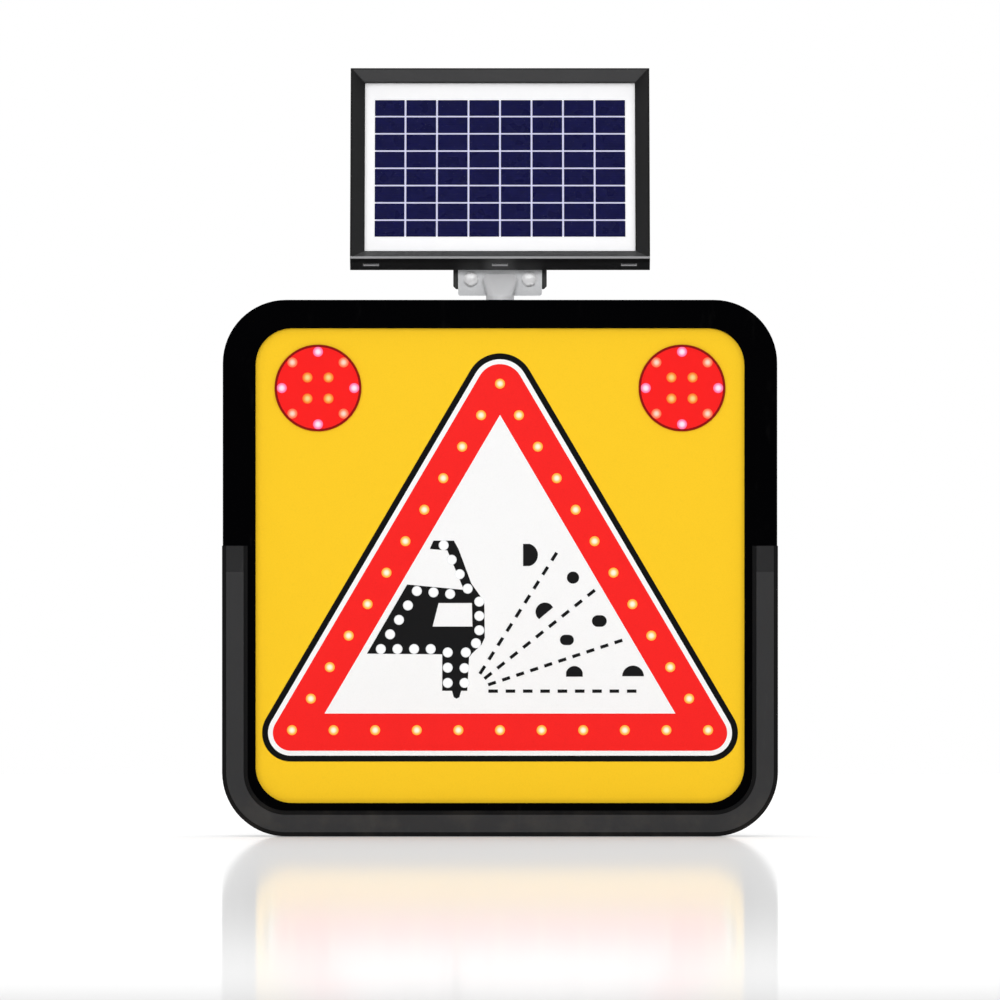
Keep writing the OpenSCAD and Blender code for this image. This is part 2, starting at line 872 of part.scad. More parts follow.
module clamp_saddles() {
    seat_y = back_y + rail_t;
    color("#a9adb1") for (z = clamp_levels) translate([0, 0, z - saddle_h / 2]) difference() {
        linear_extrude(saddle_h) difference() {
            union() {
                translate([-saddle_w / 2, seat_y]) square([saddle_w, 6]);
                translate([-31, seat_y]) square([62, 24]);
            }
            translate([0, pole_y]) circle(pole_d / 2);
        }
        for (s = [-1, 1]) rod([s * clamp_bolt_x, seat_y - 1, saddle_h / 2], 4.3, 8);
    }
}

module clamp_straps() {
    r = pole_d / 2;
    color("#b4b8bc") for (z = clamp_levels) translate([0, 0, z - saddle_h / 2]) difference() {
        linear_extrude(saddle_h) {
            difference() {
                translate([0, pole_y]) circle(r + strap_t);
                translate([0, pole_y]) circle(r);
                translate([-far / 2, pole_y - far]) square([far, far - 8]);
            }
            for (s = [-1, 1]) translate([s * 44.5 - 14, strap_ear_y]) square([28, strap_t + 1]);
        }
        translate([0, pole_y, -1]) cylinder(r = r, h = saddle_h + 2);
        for (s = [-1, 1]) rod([s * clamp_bolt_x, strap_ear_y - 1, saddle_h / 2], 4.3, 7);
    }
}

module clamp_bolts() {
    head_y = back_y + rail_t - rail_wall;
    strap_back = strap_ear_y + strap_t + 1;
    color("#c9ccd0") for (z = clamp_levels, s = [-1, 1]) translate([s * clamp_bolt_x, 0, z]) {
        translate([-6.5, head_y - 5, -13]) cube([13, 5, 26]);
        rod([0, head_y - eps, 0], 4, strap_back + 11 - head_y);
        translate([0, strap_back, 0]) rotate([-90, 0, 0]) hex_head(13, 6.5, 8, 1.6);
    }
}

// ---- battery hatch ----

module hatch_seal() {
    rim = 8;
    color("#1a1a1c") translate([0, back_y, 0]) difference() {
        translate([hatch_mouth[0] - rim, 0, hatch_mouth[1] - rim])
            cube([hatch_mouth[2] + 2 * rim, 1.2, hatch_mouth[3] + 2 * rim]);
        translate([hatch_mouth[0] - 1, -1, hatch_mouth[1] - 1])
            cube([hatch_mouth[2] + 2, 4, hatch_mouth[3] + 2]);
    }
}

hinge_z = lock_z - 2.5 * knuckle_l;

// The knuckles with the given numbers, each a short tube round the hinge pin
module knuckles(numbers) {
    for (i = numbers) translate([hinge_x, hinge_y, hinge_z + i * knuckle_l + knuckle_gap / 2])
        cylinder(r = knuckle_r, h = knuckle_l - knuckle_gap);
}

module hinge_bore() {
    translate([hinge_x, hinge_y, hinge_z - 1]) cylinder(r = hinge_pin_r + run_gap, h = 5 * knuckle_l + 2);
}

module hatch_hinge_leaf() {
    color("#a5a9ad") difference() {
        union() {
            knuckles([0, 2, 4]);
            translate([-282, back_y, hinge_z]) cube([16, 2.5, 5 * knuckle_l]);
            for (i = [0, 2, 4]) translate([-267, back_y, hinge_z + i * knuckle_l + knuckle_gap / 2])
                cube([7, 2.5, knuckle_l - knuckle_gap]);
        }
        hinge_bore();
    }
    color("#c9ccd0") for (z = [-48, 0, 48]) rod([-274, back_y + 2.5, lock_z + z], 3, 1.6);
}

module hatch_hinge_pin() {
    color("#c9ccd0") {
        translate([hinge_x, hinge_y, hinge_z - 2]) cylinder(r = hinge_pin_r, h = 5 * knuckle_l + 2);
        translate([hinge_x, hinge_y, hinge_z + 5 * knuckle_l]) cylinder(r = 3.5, h = 2);
    }
}

module battery_hatch() {
    color("#141415") difference() {
        union() {
            translate([hatch[0], hatch_y, hatch[1]]) cube([hatch[2], hatch_t, hatch[3]]);
            knuckles([1, 3]);
            for (i = [1, 3]) translate([hinge_x, hatch_y + 0.5, hinge_z + i * knuckle_l + knuckle_gap / 2])
                cube([8, hatch_t - 0.5, knuckle_l - knuckle_gap]);
        }
        hinge_bore();
        rod([lock_x, hatch_y - 1, lock_z], lock_r, hatch_t + 2);
    }
}

module hatch_lock_body() {
    color("#9da1a6") difference() {
        union() {
            rod([lock_x, inner_back_y - 0.6, lock_z], lock_r, hatch_y + hatch_t - inner_back_y + 0.6);
            rod([lock_x, hatch_y + hatch_t, lock_z], lock_r + 3, 2);
        }
        rod([lock_x, inner_back_y - 2, lock_z], 6 + run_gap, 20);
    }
}

module hatch_lock_cam() {
    color("#c0c4c8") difference() {
        union() {
            rod([lock_x, inner_back_y - 1, lock_z], 6, hatch_y + hatch_t + 2 - inner_back_y + 1);
            translate([lock_x - 6, inner_back_y - 4, lock_z - 8]) cube([12, 3, 34]);
        }
        translate([lock_x - 0.8, hatch_y + hatch_t, lock_z - 4]) cube([1.6, 4, 8]);
    }
}

// ---- power switch ----

module switch_body() {
    color("#161617") difference() {
        union() {
            translate([switch_x - switch_w / 2, inner_back_y - switch_d, switch_z - switch_h / 2])
                cube([switch_w, switch_d + wall, switch_h]);
            translate([switch_x - switch_w / 2 - switch_lip, back_y, switch_z - switch_h / 2 - switch_lip])
                cube([switch_w + 2 * switch_lip, switch_lip, switch_h + 2 * switch_lip]);
        }
        translate([switch_x - 11, back_y - 8, switch_z - 8.2]) cube([22, 12, 16.4]);
    }
}

// Rocker seen from its side: two flat pads that meet at a shallow angle over a round back
module switch_rocker() {
    color("#c01616") translate([switch_x, back_y - 1, switch_z]) rotate([-rocker_tilt, 0, 0])
        rotate([0, 90, 0]) linear_extrude(21, center = true) difference() {
            intersection() {
                circle(7.6);
                translate([-8, -3.5]) square([16, 10]);
            }
            for (s = [-1, 1]) rotate(s * rocker_tilt) translate([s > 0 ? 0 : -12, 4]) square([12, 8]);
        }
}

// ---- mast and yoke ----

module mast_tube() {
    color("#c8cace") difference() {
        union() {
            translate([0, mast_y, mast_foot_z]) cylinder(r = mast_d / 2, h = head_start_z - mast_foot_z);
            translate([0, mast_y, case_h + collar_gap]) cylinder(r = collar_r, h = collar_h);
            hull() {
                translate([0, mast_y, head_start_z - 1]) cylinder(r = mast_d / 2, h = 1, $fn = 64);
                for (s = [-1, 1]) rod([s * (head_w / 2 - 6), plate_y - head_t, head_z - 6], 6, head_t, $fn = 32);
            }
        }
        translate([0, mast_y, mast_foot_z - 1])
            cylinder(r = mast_d / 2 - mast_wall, h = head_start_z - mast_foot_z);
    }
}

yoke_bolts_x = [-yoke_bolt_gap / 2, yoke_bolt_gap / 2];

module mast_plate() {
    corner = 3;
    color("#a6aaae") slab(plate_y, steel_t) difference() {
        union() {
            translate([-plate_w / 2, plate_z + corner]) square([plate_w, plate_top_z - plate_z - corner]);
            translate([-plate_w / 2 + corner, plate_z]) square([plate_w - 2 * corner, 2 * corner]);
            for (s = [-1, 1]) translate([s * (plate_w / 2 - corner), plate_z + corner]) circle(corner);
        }
        for (x = yoke_bolts_x) translate([x, yoke_bolt_z]) circle(4.3);
    }
}

module tilt_yoke() {
    chamfer = 3;
    color("#131314") difference() {
        union() {
            slab(yoke_y, steel_t) polygon([
                [-yoke_w / 2, yoke_z + chamfer], [-yoke_w / 2 + chamfer, yoke_z],
                [yoke_w / 2 - chamfer, yoke_z], [yoke_w / 2, yoke_z + chamfer],
                [yoke_w / 2, plate_top_z], [-yoke_w / 2, plate_top_z]
            ]);
            for (s = [-1, 1]) translate([s * (yoke_w - yoke_wall) / 2, 0, 0]) {
                cross_rod([0, pivot_y, pivot_z], ear_r, yoke_wall);
                rotate([90, 0, 90]) linear_extrude(yoke_wall, center = true) polygon([
                    [yoke_y, yoke_z + chamfer], [yoke_y + steel_t + 6, yoke_z + chamfer],
                    [pivot_y + ear_r, pivot_z], [pivot_y - ear_r, pivot_z], [yoke_y, plate_top_z]
                ]);
            }
        }
        cross_rod([0, pivot_y, pivot_z], pivot_r + run_gap, 2 * yoke_w);
        for (x = yoke_bolts_x) rod([x, yoke_y - 1, yoke_bolt_z], 4.3, steel_t + 2);
    }
}

module yoke_bolts() {
    color("#d3d6d9") for (x = yoke_bolts_x) {
        rod([x, plate_y - 2, yoke_bolt_z], 4, 2 * steel_t + 12);
        translate([x, plate_y, yoke_bolt_z]) rotate([90, 0, 0]) hex_head(13, 5.3, 8, 1.6);
        translate([x, yoke_y + steel_t, yoke_bolt_z]) rotate([-90, 0, 0]) hex_head(13, 6.5, 8, 1.6);
    }
}

bracket_w = yoke_w - 2 * yoke_wall - 1;
module pivot_bolts() {
    outer = yoke_w / 2;
    inner = bracket_w / 2 - steel_t - 0.4;
    color("#c9ccd0") for (s = [-1, 1]) translate([0, pivot_y, pivot_z]) {
        cross_rod([s * (outer + inner - 10) / 2, 0, 0], pivot_r, outer - inner + 10);
        translate([s * outer, 0, 0]) rotate([0, s * 90, 0]) hex_head(13, 5.3, 8, 1.6);
        translate([s * inner, 0, 0]) rotate([0, -s * 90, 0]) hex_head(13, 6.5, 6.4, 1);
    }
}

// ---- solar panel ----

// Places an upright panel drawing, its back at y = 0 and its foot at z = 0, as it is stored
module on_panel() {
    translate([0, panel_y, panel_z]) rotate([-panel_lean, 0, 0]) children();
}

module panel_box(side, end, y, t) {
    translate([side - panel_w / 2, y, end]) cube([panel_w - 2 * side, t, panel_h - 2 * end]);
}

// Opening that narrows from the frame's front rim to the glass
module bevel() {
    front = -panel_t - eps;
    glass = glass_sink - panel_t;
    half_w = panel_w / 2;
    intersection() {
        linear_extrude(panel_h) polygon([
            [panel_rim - half_w, front], [half_w - panel_rim, front],
            [half_w - glass_side, glass], [glass_side - half_w, glass]
        ]);
        rotate([90, 0, 90]) linear_extrude(panel_w, center = true) polygon([
            [front, panel_rim], [front, panel_h - panel_rim],
            [glass, panel_h - glass_end], [glass, glass_end]
        ]);
    }
}

glass_y = glass_sink - panel_t;
back_plate_t = 2;
module panel_frame() {
    pocket_t = 5;
    color("#1d1d1e") on_panel() difference() {
        panel_box(0, 0, -panel_t, panel_t);
        bevel();
        panel_box(glass_side - groove, glass_end - groove, glass_y, pocket_t + eps);
        panel_box(2, 2, glass_y + pocket_t, panel_t);
        for (x = [-panel_w * 0.43, 0, panel_w * 0.43]) translate([x - 8, -16, -1]) cube([16, 5, 4]);
    }
}

module panel_glass() {
    color([0.75, 0.82, 0.9, 0.3]) on_panel()
        panel_box(glass_side - groove, glass_end - groove, glass_y, glass_t);
}

module solar_cells() {
    pitch_x = cell_w / cell_grid;
    pitch_z = cell_h / cell_grid;
    color("#0d0d43") on_panel() for (i = [0:cell_grid - 1], j = [0:cell_grid - 1])
        translate([
            i * pitch_x - cell_w / 2 + cell_line / 2, glass_y + glass_t,
            panel_h / 2 - cell_h / 2 + j * pitch_z + cell_line / 2
        ]) cube([pitch_x - cell_line, 0.5, pitch_z - cell_line]);
}

module cell_backsheet() {
    color("#f2f3f5") on_panel()
        panel_box(glass_side - groove, glass_end - groove, glass_y + glass_t + 0.5, 0.6);
}

bracket_holes = [for (x = [-32, 32], z = [20, 60]) [x, z]];

module panel_back_plate() {
    color("#2a2a2c") on_panel() difference() {
        panel_box(2, 2, -back_plate_t, back_plate_t);
        for (p = bracket_holes) rod([p[0], -back_plate_t - 1, p[1]], 2.7, back_plate_t + 2);
    }
}

module junction_box() {
    color("#18181a") on_panel() {
        translate([-42, 0, 110]) cube([84, 18, 56]);
        translate([-44, 18, 108]) cube([88, 3, 60]);
        translate([0, 9, 100]) cylinder(r = 7, h = 10);
        translate([0, 9, 92]) cylinder(r = 9, h = 9, $fn = 6);
    }
}

module panel_bracket() {
    w = bracket_w;
    color("#131314") on_panel() difference() {
        union() {
            translate([-w / 2, 0, 12]) cube([w, steel_t, 56]);
            for (s = [-1, 1]) translate([s * (w - steel_t) / 2, 0, 0]) {
                cross_rod([0, pivot_out, pivot_up], ear_r, steel_t);
                translate([-steel_t / 2, 0, pivot_up - ear_r]) cube([steel_t, pivot_out, 2 * ear_r]);
            }
        }
        cross_rod([0, pivot_out, pivot_up], pivot_r + run_gap, 2 * w);
        for (p = bracket_holes) rod([p[0], -1, p[1]], 2.7, steel_t + 2);
    }
}

module bracket_screws() {
    color("#c9ccd0") on_panel() for (p = bracket_holes) {
        rod([p[0], -6, p[1]], 2.5, 6 + steel_t);
        rod([p[0], steel_t, p[1]], 4.6, 2.6);
        translate([p[0], -back_plate_t, p[1]]) rotate([90, 0, 0]) cylinder(r = 4.6, h = 4, $fn = 6);
    }
}

front_frame();
lower_guard();
guard_strip();
guard_end_caps();
face_plate();
yellow_sheeting();
triangle_black_film();
triangle_white_film();
triangle_red_film();
triangle_centre_film();
pictogram_film();
flasher_discs();
flasher_rims();
triangle_leds();
pictogram_leds();
flasher_ring_leds();
flasher_core_leds();
triangle_led_boards();
pictogram_led_board();
flasher_led_boards();
board_spacers();
board_screws();
case_gasket();
rear_shell();
case_screws();
battery_tray();
battery_pack();
battery_strap();
control_board();
control_components();
wiring_harness();
mast_bush();
mast_socket();
back_wall_bolts();
upper_rail();
lower_rail();
clamp_saddles();
clamp_straps();
clamp_bolts();
switch_body();
switch_rocker();
hatch_seal();
hatch_hinge_leaf();
hatch_hinge_pin();
battery_hatch();
hatch_lock_body();
hatch_lock_cam();
mast_tube();
mast_plate();
tilt_yoke();
yoke_bolts();
pivot_bolts();
panel_frame();
panel_glass();
solar_cells();
cell_backsheet();
panel_back_plate();
junction_box();
panel_bracket();
bracket_screws();
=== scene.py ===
import math

import bmesh
import bpy
from mathutils import Euler, Matrix, Vector


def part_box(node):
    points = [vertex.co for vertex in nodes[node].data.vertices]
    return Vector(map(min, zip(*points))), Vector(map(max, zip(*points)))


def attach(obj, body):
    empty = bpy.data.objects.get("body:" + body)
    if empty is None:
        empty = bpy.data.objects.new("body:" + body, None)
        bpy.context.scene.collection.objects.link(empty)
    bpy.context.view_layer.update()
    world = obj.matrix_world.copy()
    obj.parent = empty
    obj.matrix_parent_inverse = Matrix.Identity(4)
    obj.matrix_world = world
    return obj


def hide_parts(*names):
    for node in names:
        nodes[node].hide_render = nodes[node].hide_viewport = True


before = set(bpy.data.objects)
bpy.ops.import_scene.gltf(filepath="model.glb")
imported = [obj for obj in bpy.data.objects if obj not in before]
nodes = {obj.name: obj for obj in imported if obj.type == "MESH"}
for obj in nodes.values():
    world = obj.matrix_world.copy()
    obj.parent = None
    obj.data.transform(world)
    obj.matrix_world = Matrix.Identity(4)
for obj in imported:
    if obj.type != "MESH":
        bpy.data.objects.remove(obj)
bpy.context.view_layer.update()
mm = 0.001
print("stage: frame loaded with", len(nodes), "nodes")


# sRGB 0-255 to the linear colour that a shader wants
def tone(r, g, b):
    def linear(v):
        v = v / 255
        return v / 12.92 if v < 0.04045 else ((v + 0.055) / 1.055) ** 2.4

    return (linear(r), linear(g), linear(b), 1.0)


# A shader socket that takes part in ordinary arithmetic
class Wire:
    def __init__(self, finish, socket):
        self.finish = finish
        self.socket = socket

    def calc(self, operation, *others):
        return self.finish.add("ShaderNodeMath", {"operation": operation}, [self, *others])

    def __add__(self, other):
        return self.calc("ADD", other)

    def __radd__(self, other):
        return self.finish.number(other).calc("ADD", self)

    def __sub__(self, other):
        return self.calc("SUBTRACT", other)

    def __rsub__(self, other):
        return self.finish.number(other).calc("SUBTRACT", self)

    def __mul__(self, other):
        return self.calc("MULTIPLY", other)

    def __truediv__(self, other):
        return self.calc("DIVIDE", other)

    def __abs__(self):
        return self.calc("ABSOLUTE")

    def under(self, limit):
        return self.calc("LESS_THAN", limit)

    def over(self, limit):
        return self.calc("GREATER_THAN", limit)

    def fraction(self):
        return self.calc("FRACT")

    # 0 below low, 1 above high, eased in between
    def ramp(self, low, high):
        settings = {"interpolation_type": "SMOOTHSTEP"}
        return self.finish.add("ShaderNodeMapRange", settings, [self, low, high, 0.0, 1.0])


class Finish:
    def __init__(self, name, roughness=0.5, metallic=0.0, specular=0.5, coat=0.0):
        self.material = bpy.data.materials.new(name)
        self.material.use_nodes = True
        self.tree = self.material.node_tree
        self.shader = self.tree.nodes["Principled BSDF"]
        self.put("Roughness", roughness)
        self.put("Metallic", metallic)
        self.put("Specular IOR Level", specular)
        self.put("Coat Weight", coat)
        self.place = self.add("ShaderNodeTexCoord", {}, [], "Object")

    # Any node: its type, its settings, its inputs and the output that is wanted
    def add(self, kind, settings, inputs, output=0):
        node = self.tree.nodes.new(kind)
        for key, value in settings.items():
            setattr(node, key, value)
        pairs = inputs.items() if isinstance(inputs, dict) else enumerate(inputs)
        for key, value in pairs:
            self.plug(node.inputs[key], value)
        return Wire(self, node.outputs[output])

    def plug(self, socket, value):
        if isinstance(value, Wire):
            self.tree.links.new(value.socket, socket)
        else:
            socket.default_value = value

    def put(self, name, value):
        self.plug(self.shader.inputs[name], value)

    def number(self, value):
        node = self.tree.nodes.new("ShaderNodeValue")
        node.outputs[0].default_value = value
        return Wire(self, node.outputs[0])

    def mix(self, factor, a, b):
        return self.add("ShaderNodeMix", {"data_type": "RGBA"}, {0: factor, 6: a, 7: b}, 2)

    # Object coordinates stretched or turned
    def mapped(self, scale=(1, 1, 1), turn=(0, 0, 0), shift=(0, 0, 0)):
        inputs = {"Vector": self.place, "Scale": scale, "Rotation": turn, "Location": shift}
        return self.add("ShaderNodeMapping", {}, inputs)

    # Noise whose features are about size metres across
    def noise(self, size, detail=3.0, vector=None):
        inputs = {"Vector": vector or self.place, "Scale": 1 / size, "Detail": detail}
        return self.add("ShaderNodeTexNoise", {}, inputs)

    def cells(self, size, output="Distance", feature="F1", vector=None):
        inputs = {"Vector": vector or self.place, "Scale": 1 / size}
        return self.add("ShaderNodeTexVoronoi", {"feature": feature}, inputs, output)

    def axes(self, vector=None):
        return [self.add("ShaderNodeSeparateXYZ", {}, [vector or self.place], i) for i in range(3)]

    def bump(self, height, depth):
        inputs = {"Height": height, "Distance": depth, "Strength": 1.0}
        self.put("Normal", self.add("ShaderNodeBump", {}, inputs))


# Moulded or painted skin: cloudy tone, fine grain, scuffs that show paler, dust low down
def skin(name, colour, roughness, specular=0.5, grain=0.9, depth=0.03, cloud=0.12, scuff=0.25, dust=0.0):
    f = Finish(name, specular=specular)
    clouds = f.noise(0.09, 4.0)
    fine = f.noise(grain * mm, 2.0)
    marks = f.noise(0.012, 6.0, f.mapped(scale=(1, 1, 0.25), turn=(0.3, 0.2, 0.5)))
    worn = marks.ramp(0.62, 0.74) * scuff
    dark = [c * (1 - cloud) for c in colour[:3]] + [1.0]
    pale = [min(c * (1 + cloud) + 0.004 * scuff, 1.0) for c in colour[:3]] + [1.0]
    shade = f.mix(clouds, dark, pale)
    shade = f.mix(worn * 0.12, shade, tone(150, 148, 144))
    if dust:
        up = f.axes()[2]
        settled = (1 - up.ramp(0.0, 0.09)) * f.noise(0.03, 6.0).ramp(0.42, 0.7) * dust
        shade = f.mix(settled, shade, tone(148, 138, 122))
    f.put("Base Color", shade)
    f.put("Roughness", roughness + (clouds - 0.5) * 0.12 + worn * 0.15)
    f.bump(fine * 0.6 + clouds * 0.4, depth * mm)
    return f.material


# Bare metal: brushed along one way or in crystals, with smudges in its sheen
def metal(name, colour, roughness, brushed=None, crystals=0.0, depth=0.01, metallic=0.7, contrast=0.28):
    f = Finish(name, metallic=metallic)
    smudge = f.noise(0.03, 5.0)
    if crystals:
        flakes = f.cells(crystals * mm, "Color")
        tint = f.add("ShaderNodeSeparateColor", {}, [flakes], 0)
        texture = f.noise(crystals * 0.2 * mm, 3.0) * 0.4 + tint * 0.6
    else:
        texture = f.noise(0.4 * mm, 3.0, f.mapped(scale=brushed or (1, 1, 0.04)))
    dark = [c * (1 - contrast) for c in colour[:3]] + [1.0]
    shade = f.mix(texture * 0.7 + smudge * 0.3, dark, colour)
    f.put("Base Color", shade)
    f.put("Roughness", roughness + (texture - 0.5) * 0.18 + (smudge - 0.5) * 0.16)
    f.bump(texture, depth * mm)
    return f.material


# Retroreflective or plain printed film: sealed cells under a clear top coat
def film(name, colour, cell=2.6, seam=0.05, roughness=0.42, specular=0.08):
    f = Finish(name, specular=specular)
    edge = f.cells(cell * mm, "Distance", "DISTANCE_TO_EDGE", f.mapped(scale=(1, 0.001, 1)))
    line = 1 - edge.ramp(0.02, 0.09)
    clouds = f.noise(0.12, 3.0)
    seamTone = [c * 0.86 for c in colour[:3]] + [1.0]
    base = f.mix(clouds * 0.5, colour, [c * 0.975 for c in colour[:3]] + [1.0])
    f.put("Base Color", f.mix(line * seam, base, seamTone))
    f.put("Roughness", roughness + line * 0.08 + (clouds - 0.5) * 0.06)
    f.bump(edge, 0.006 * mm)
    return f.material


# Lit LED lens: the tone runs from the middle to the rim of the dome
def lamp(name, middle, rim, body, glow=0.9, spread=(0.35, 0.85)):
    f = Finish(name, roughness=0.22, specular=0.3)
    radial = f.add("ShaderNodeAttribute", {"attribute_name": "fromAxis"}, [], "Fac")
    flicker = f.noise(4 * mm, 2.0)
    share = (radial + (flicker - 0.5) * 0.12).ramp(*spread)
    f.put("Base Color", f.mix(share, body, [c * 0.25 for c in rim[:3]] + [1.0]))
    f.put("Emission Color", f.mix(share, middle, rim))
    f.shader.inputs["Emission Strength"].default_value = glow
    return f.material


finishes = {}


def wear(finish, *names):
    for name in names:
        mesh = nodes[name].data
        mesh.materials.clear()
        mesh.materials.append(finish)
        finishes[name] = finish


caseBlack = skin("caseBlack", tone(3, 3, 4), 0.6, specular=0.0, grain=0.7, depth=0.02, scuff=0.05)
guardBlack = skin(
    "guardBlack", tone(12, 12, 13), 0.62, specular=0.08, grain=1.1, depth=0.05, scuff=0.05, dust=0.03
)
guardGrey = skin(
    "guardGrey", tone(52, 52, 53), 0.66, specular=0.1, grain=1.3, depth=0.07, scuff=0.15, dust=0.05
)
guardDark = skin("guardDark", tone(38, 38, 39), 0.6, specular=0.1, grain=1.3, depth=0.06, scuff=0.25)
rubber = skin("rubber", tone(24, 24, 26), 0.8, specular=0.2, grain=0.8, depth=0.05, scuff=0.1)
shellBlack = skin(
    "shellBlack", tone(13, 13, 14), 0.48, specular=0.3, grain=0.8, depth=0.04, cloud=0.2, scuff=0.25
)
wear(caseBlack, "front_frame")
wear(shellBlack, "rear_shell")
wear(guardBlack, "lower_guard")
wear(guardGrey, "guard_strip")
wear(guardDark, "guard_end_caps")
wear(rubber, "case_gasket", "hatch_seal", "mast_bush")

wear(film("sheetingYellow", tone(254, 205, 33), seam=0.2), "yellow_sheeting")
wear(film("filmBlack", tone(8, 9, 9), seam=0.0, roughness=0.5, specular=0.06), "triangle_black_film")
wear(film("filmWhite", tone(250, 250, 250), seam=0.15), "triangle_white_film", "triangle_centre_film")
wear(film("filmRed", tone(250, 33, 31), seam=0.25), "triangle_red_film")
wear(film("pictogramBlack", tone(20, 20, 21), seam=0.0, roughness=0.5, specular=0.06), "pictogram_film")
flasherRed = skin(
    "flasherRed", tone(250, 30, 29), 0.4, specular=0.05, grain=2.0, depth=0.02, cloud=0.03, scuff=0.0
)
wear(flasherRed, "flasher_discs")
wear(skin("rimRed", tone(140, 14, 10), 0.45, specular=0.05, grain=2.0, depth=0.02, scuff=0.1), "flasher_rims")
wear(metal("plateAluminium", tone(205, 207, 210), 0.42, brushed=(0.03, 1, 1)), "face_plate")

boardGreen = skin("boardGreen", tone(28, 96, 56), 0.35, specular=0.5, grain=2.2, depth=0.03, cloud=0.2)
wear(boardGreen, "triangle_led_boards", "pictogram_led_board", "flasher_led_boards", "control_board")
wear(skin("nylon", tone(214, 210, 196), 0.5, grain=1.5), "board_spacers")
wear(skin("batteryGrey", tone(52, 56, 62), 0.45, grain=1.2, depth=0.05, scuff=0.4), "battery_pack")
wear(skin("strapBlue", tone(52, 66, 96), 0.8, grain=0.6, depth=0.15), "battery_strap")
wear(skin("components", tone(70, 74, 78), 0.4, grain=2.5, depth=0.1, cloud=0.5), "control_components")
wear(skin("wireJacket", tone(120, 40, 36), 0.45, grain=2.0, cloud=0.3), "wiring_harness")
wear(skin("switchBlack", tone(22, 22, 23), 0.4, grain=1.0), "switch_body")
wear(skin("rockerRed", tone(190, 26, 24), 0.3, grain=2.0, scuff=0.1), "switch_rocker")

zinc = metal("steelZinc", tone(226, 228, 231), 0.32, crystals=1.6, depth=0.004, metallic=0.7, contrast=0.16)
galvanised = metal("galvanised", tone(236, 237, 239), 0.46, crystals=7.0, depth=0.02, metallic=0.25)
castAluminium = metal("castAluminium", tone(182, 184, 187), 0.5, crystals=1.2, depth=0.06)
railAluminium = metal("railAluminium", tone(196, 198, 201), 0.36, brushed=(0.03, 1, 1))
wear(zinc, "board_screws", "case_screws", "back_wall_bolts", "clamp_bolts", "hatch_hinge_pin", "yoke_bolts")
wear(zinc, "pivot_bolts", "bracket_screws", "hatch_hinge_leaf", "hatch_lock_body", "hatch_lock_cam")
# Painted sheen: the yoke bolts get a near-white, barely metallic copy of the zinc, so they read as bright as
# if they caught the light
boltZincSheen = metal("boltZincSheen", tone(254, 254, 255), 0.25, crystals=3.0, metallic=0.05, contrast=0.06)
wear(metal("trayZinc", tone(160, 166, 172), 0.45, crystals=5.0), "battery_tray")
wear(galvanised, "clamp_straps", "mast_plate")
# Painted sheen: the mast tube's zinc is given a near-white, barely metallic tone that stands in for its
# bright shine where little light reaches under the panel
mastZincSheen = metal("mastZincSheen", tone(252, 252, 254), 0.34, brushed=(1, 1, 0.05), metallic=0.05, contrast=0.08)
wear(mastZincSheen, "mast_tube")
wear(castAluminium, "mast_socket", "clamp_saddles")
wear(railAluminium, "upper_rail", "lower_rail")
hatchBlack = skin("hatchBlack", tone(14, 14, 15), 0.5, specular=0.3, grain=1.0, depth=0.05, scuff=0.2)
wear(hatchBlack, "battery_hatch")
yokeBlack = skin("yokeBlack", tone(16, 16, 17), 0.4, specular=0.35, grain=0.9, depth=0.05, scuff=0.3)
wear(yokeBlack, "tilt_yoke", "panel_bracket")
wear(skin("boxBlack", tone(20, 20, 21), 0.5, specular=0.35, grain=1.2, depth=0.05), "junction_box")
wear(skin("backPlateBlack", tone(30, 30, 31), 0.5, specular=0.3, grain=1.4, depth=0.03), "panel_back_plate")

# The panel leans back as stored, so its own flat axes are the object's turned about X
panelSize = {"lean": math.radians(25), "side": 16.0, "end": 13.8}
panelLow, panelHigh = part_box("panel_frame")
leanCos = math.cos(panelSize["lean"])
leanSin = math.sin(panelSize["lean"])
spanY = panelHigh.y - panelLow.y
spanZ = panelHigh.z - panelLow.z
panelTall = (spanZ * leanCos - spanY * leanSin) / (leanCos**2 - leanSin**2)
panelThick = (spanY - panelTall * leanSin) / leanCos
panelWide = panelHigh.x - panelLow.x
panelFoot = Vector((0, panelHigh.y - panelTall * leanSin, panelLow.z))
panelToWorld = Matrix.Translation(panelFoot) @ Euler((-panelSize["lean"], 0, 0)).to_matrix().to_4x4()


# Object coordinates turned upright with the panel, measured from the middle of its lower back edge
def panelPlace(f):
    moved = f.add("ShaderNodeVectorMath", {"operation": "SUBTRACT"}, [f.place, tuple(panelFoot)])
    inputs = {"Vector": moved, "Rotation": (panelSize["lean"], 0, 0)}
    return f.add("ShaderNodeMapping", {"vector_type": "POINT"}, inputs)


frameLines = {
    "frontDeep": 10.5,  # how far back the front's look reaches
    "mitre": 0.4,
    "rim": 1.9,
    "glassEdgeShade": 1.5,
    "lowEdgeTall": 2.4,
    "lowEdgeDeep": 1.2,
    "slotHalf": 8.6,
    "slotDeep": 3.0,
    "slotFromBack": 13.5,
    "slotTall": 6.0,
}
slotShare = 0.43  # of the panel's width, between neighbouring slots


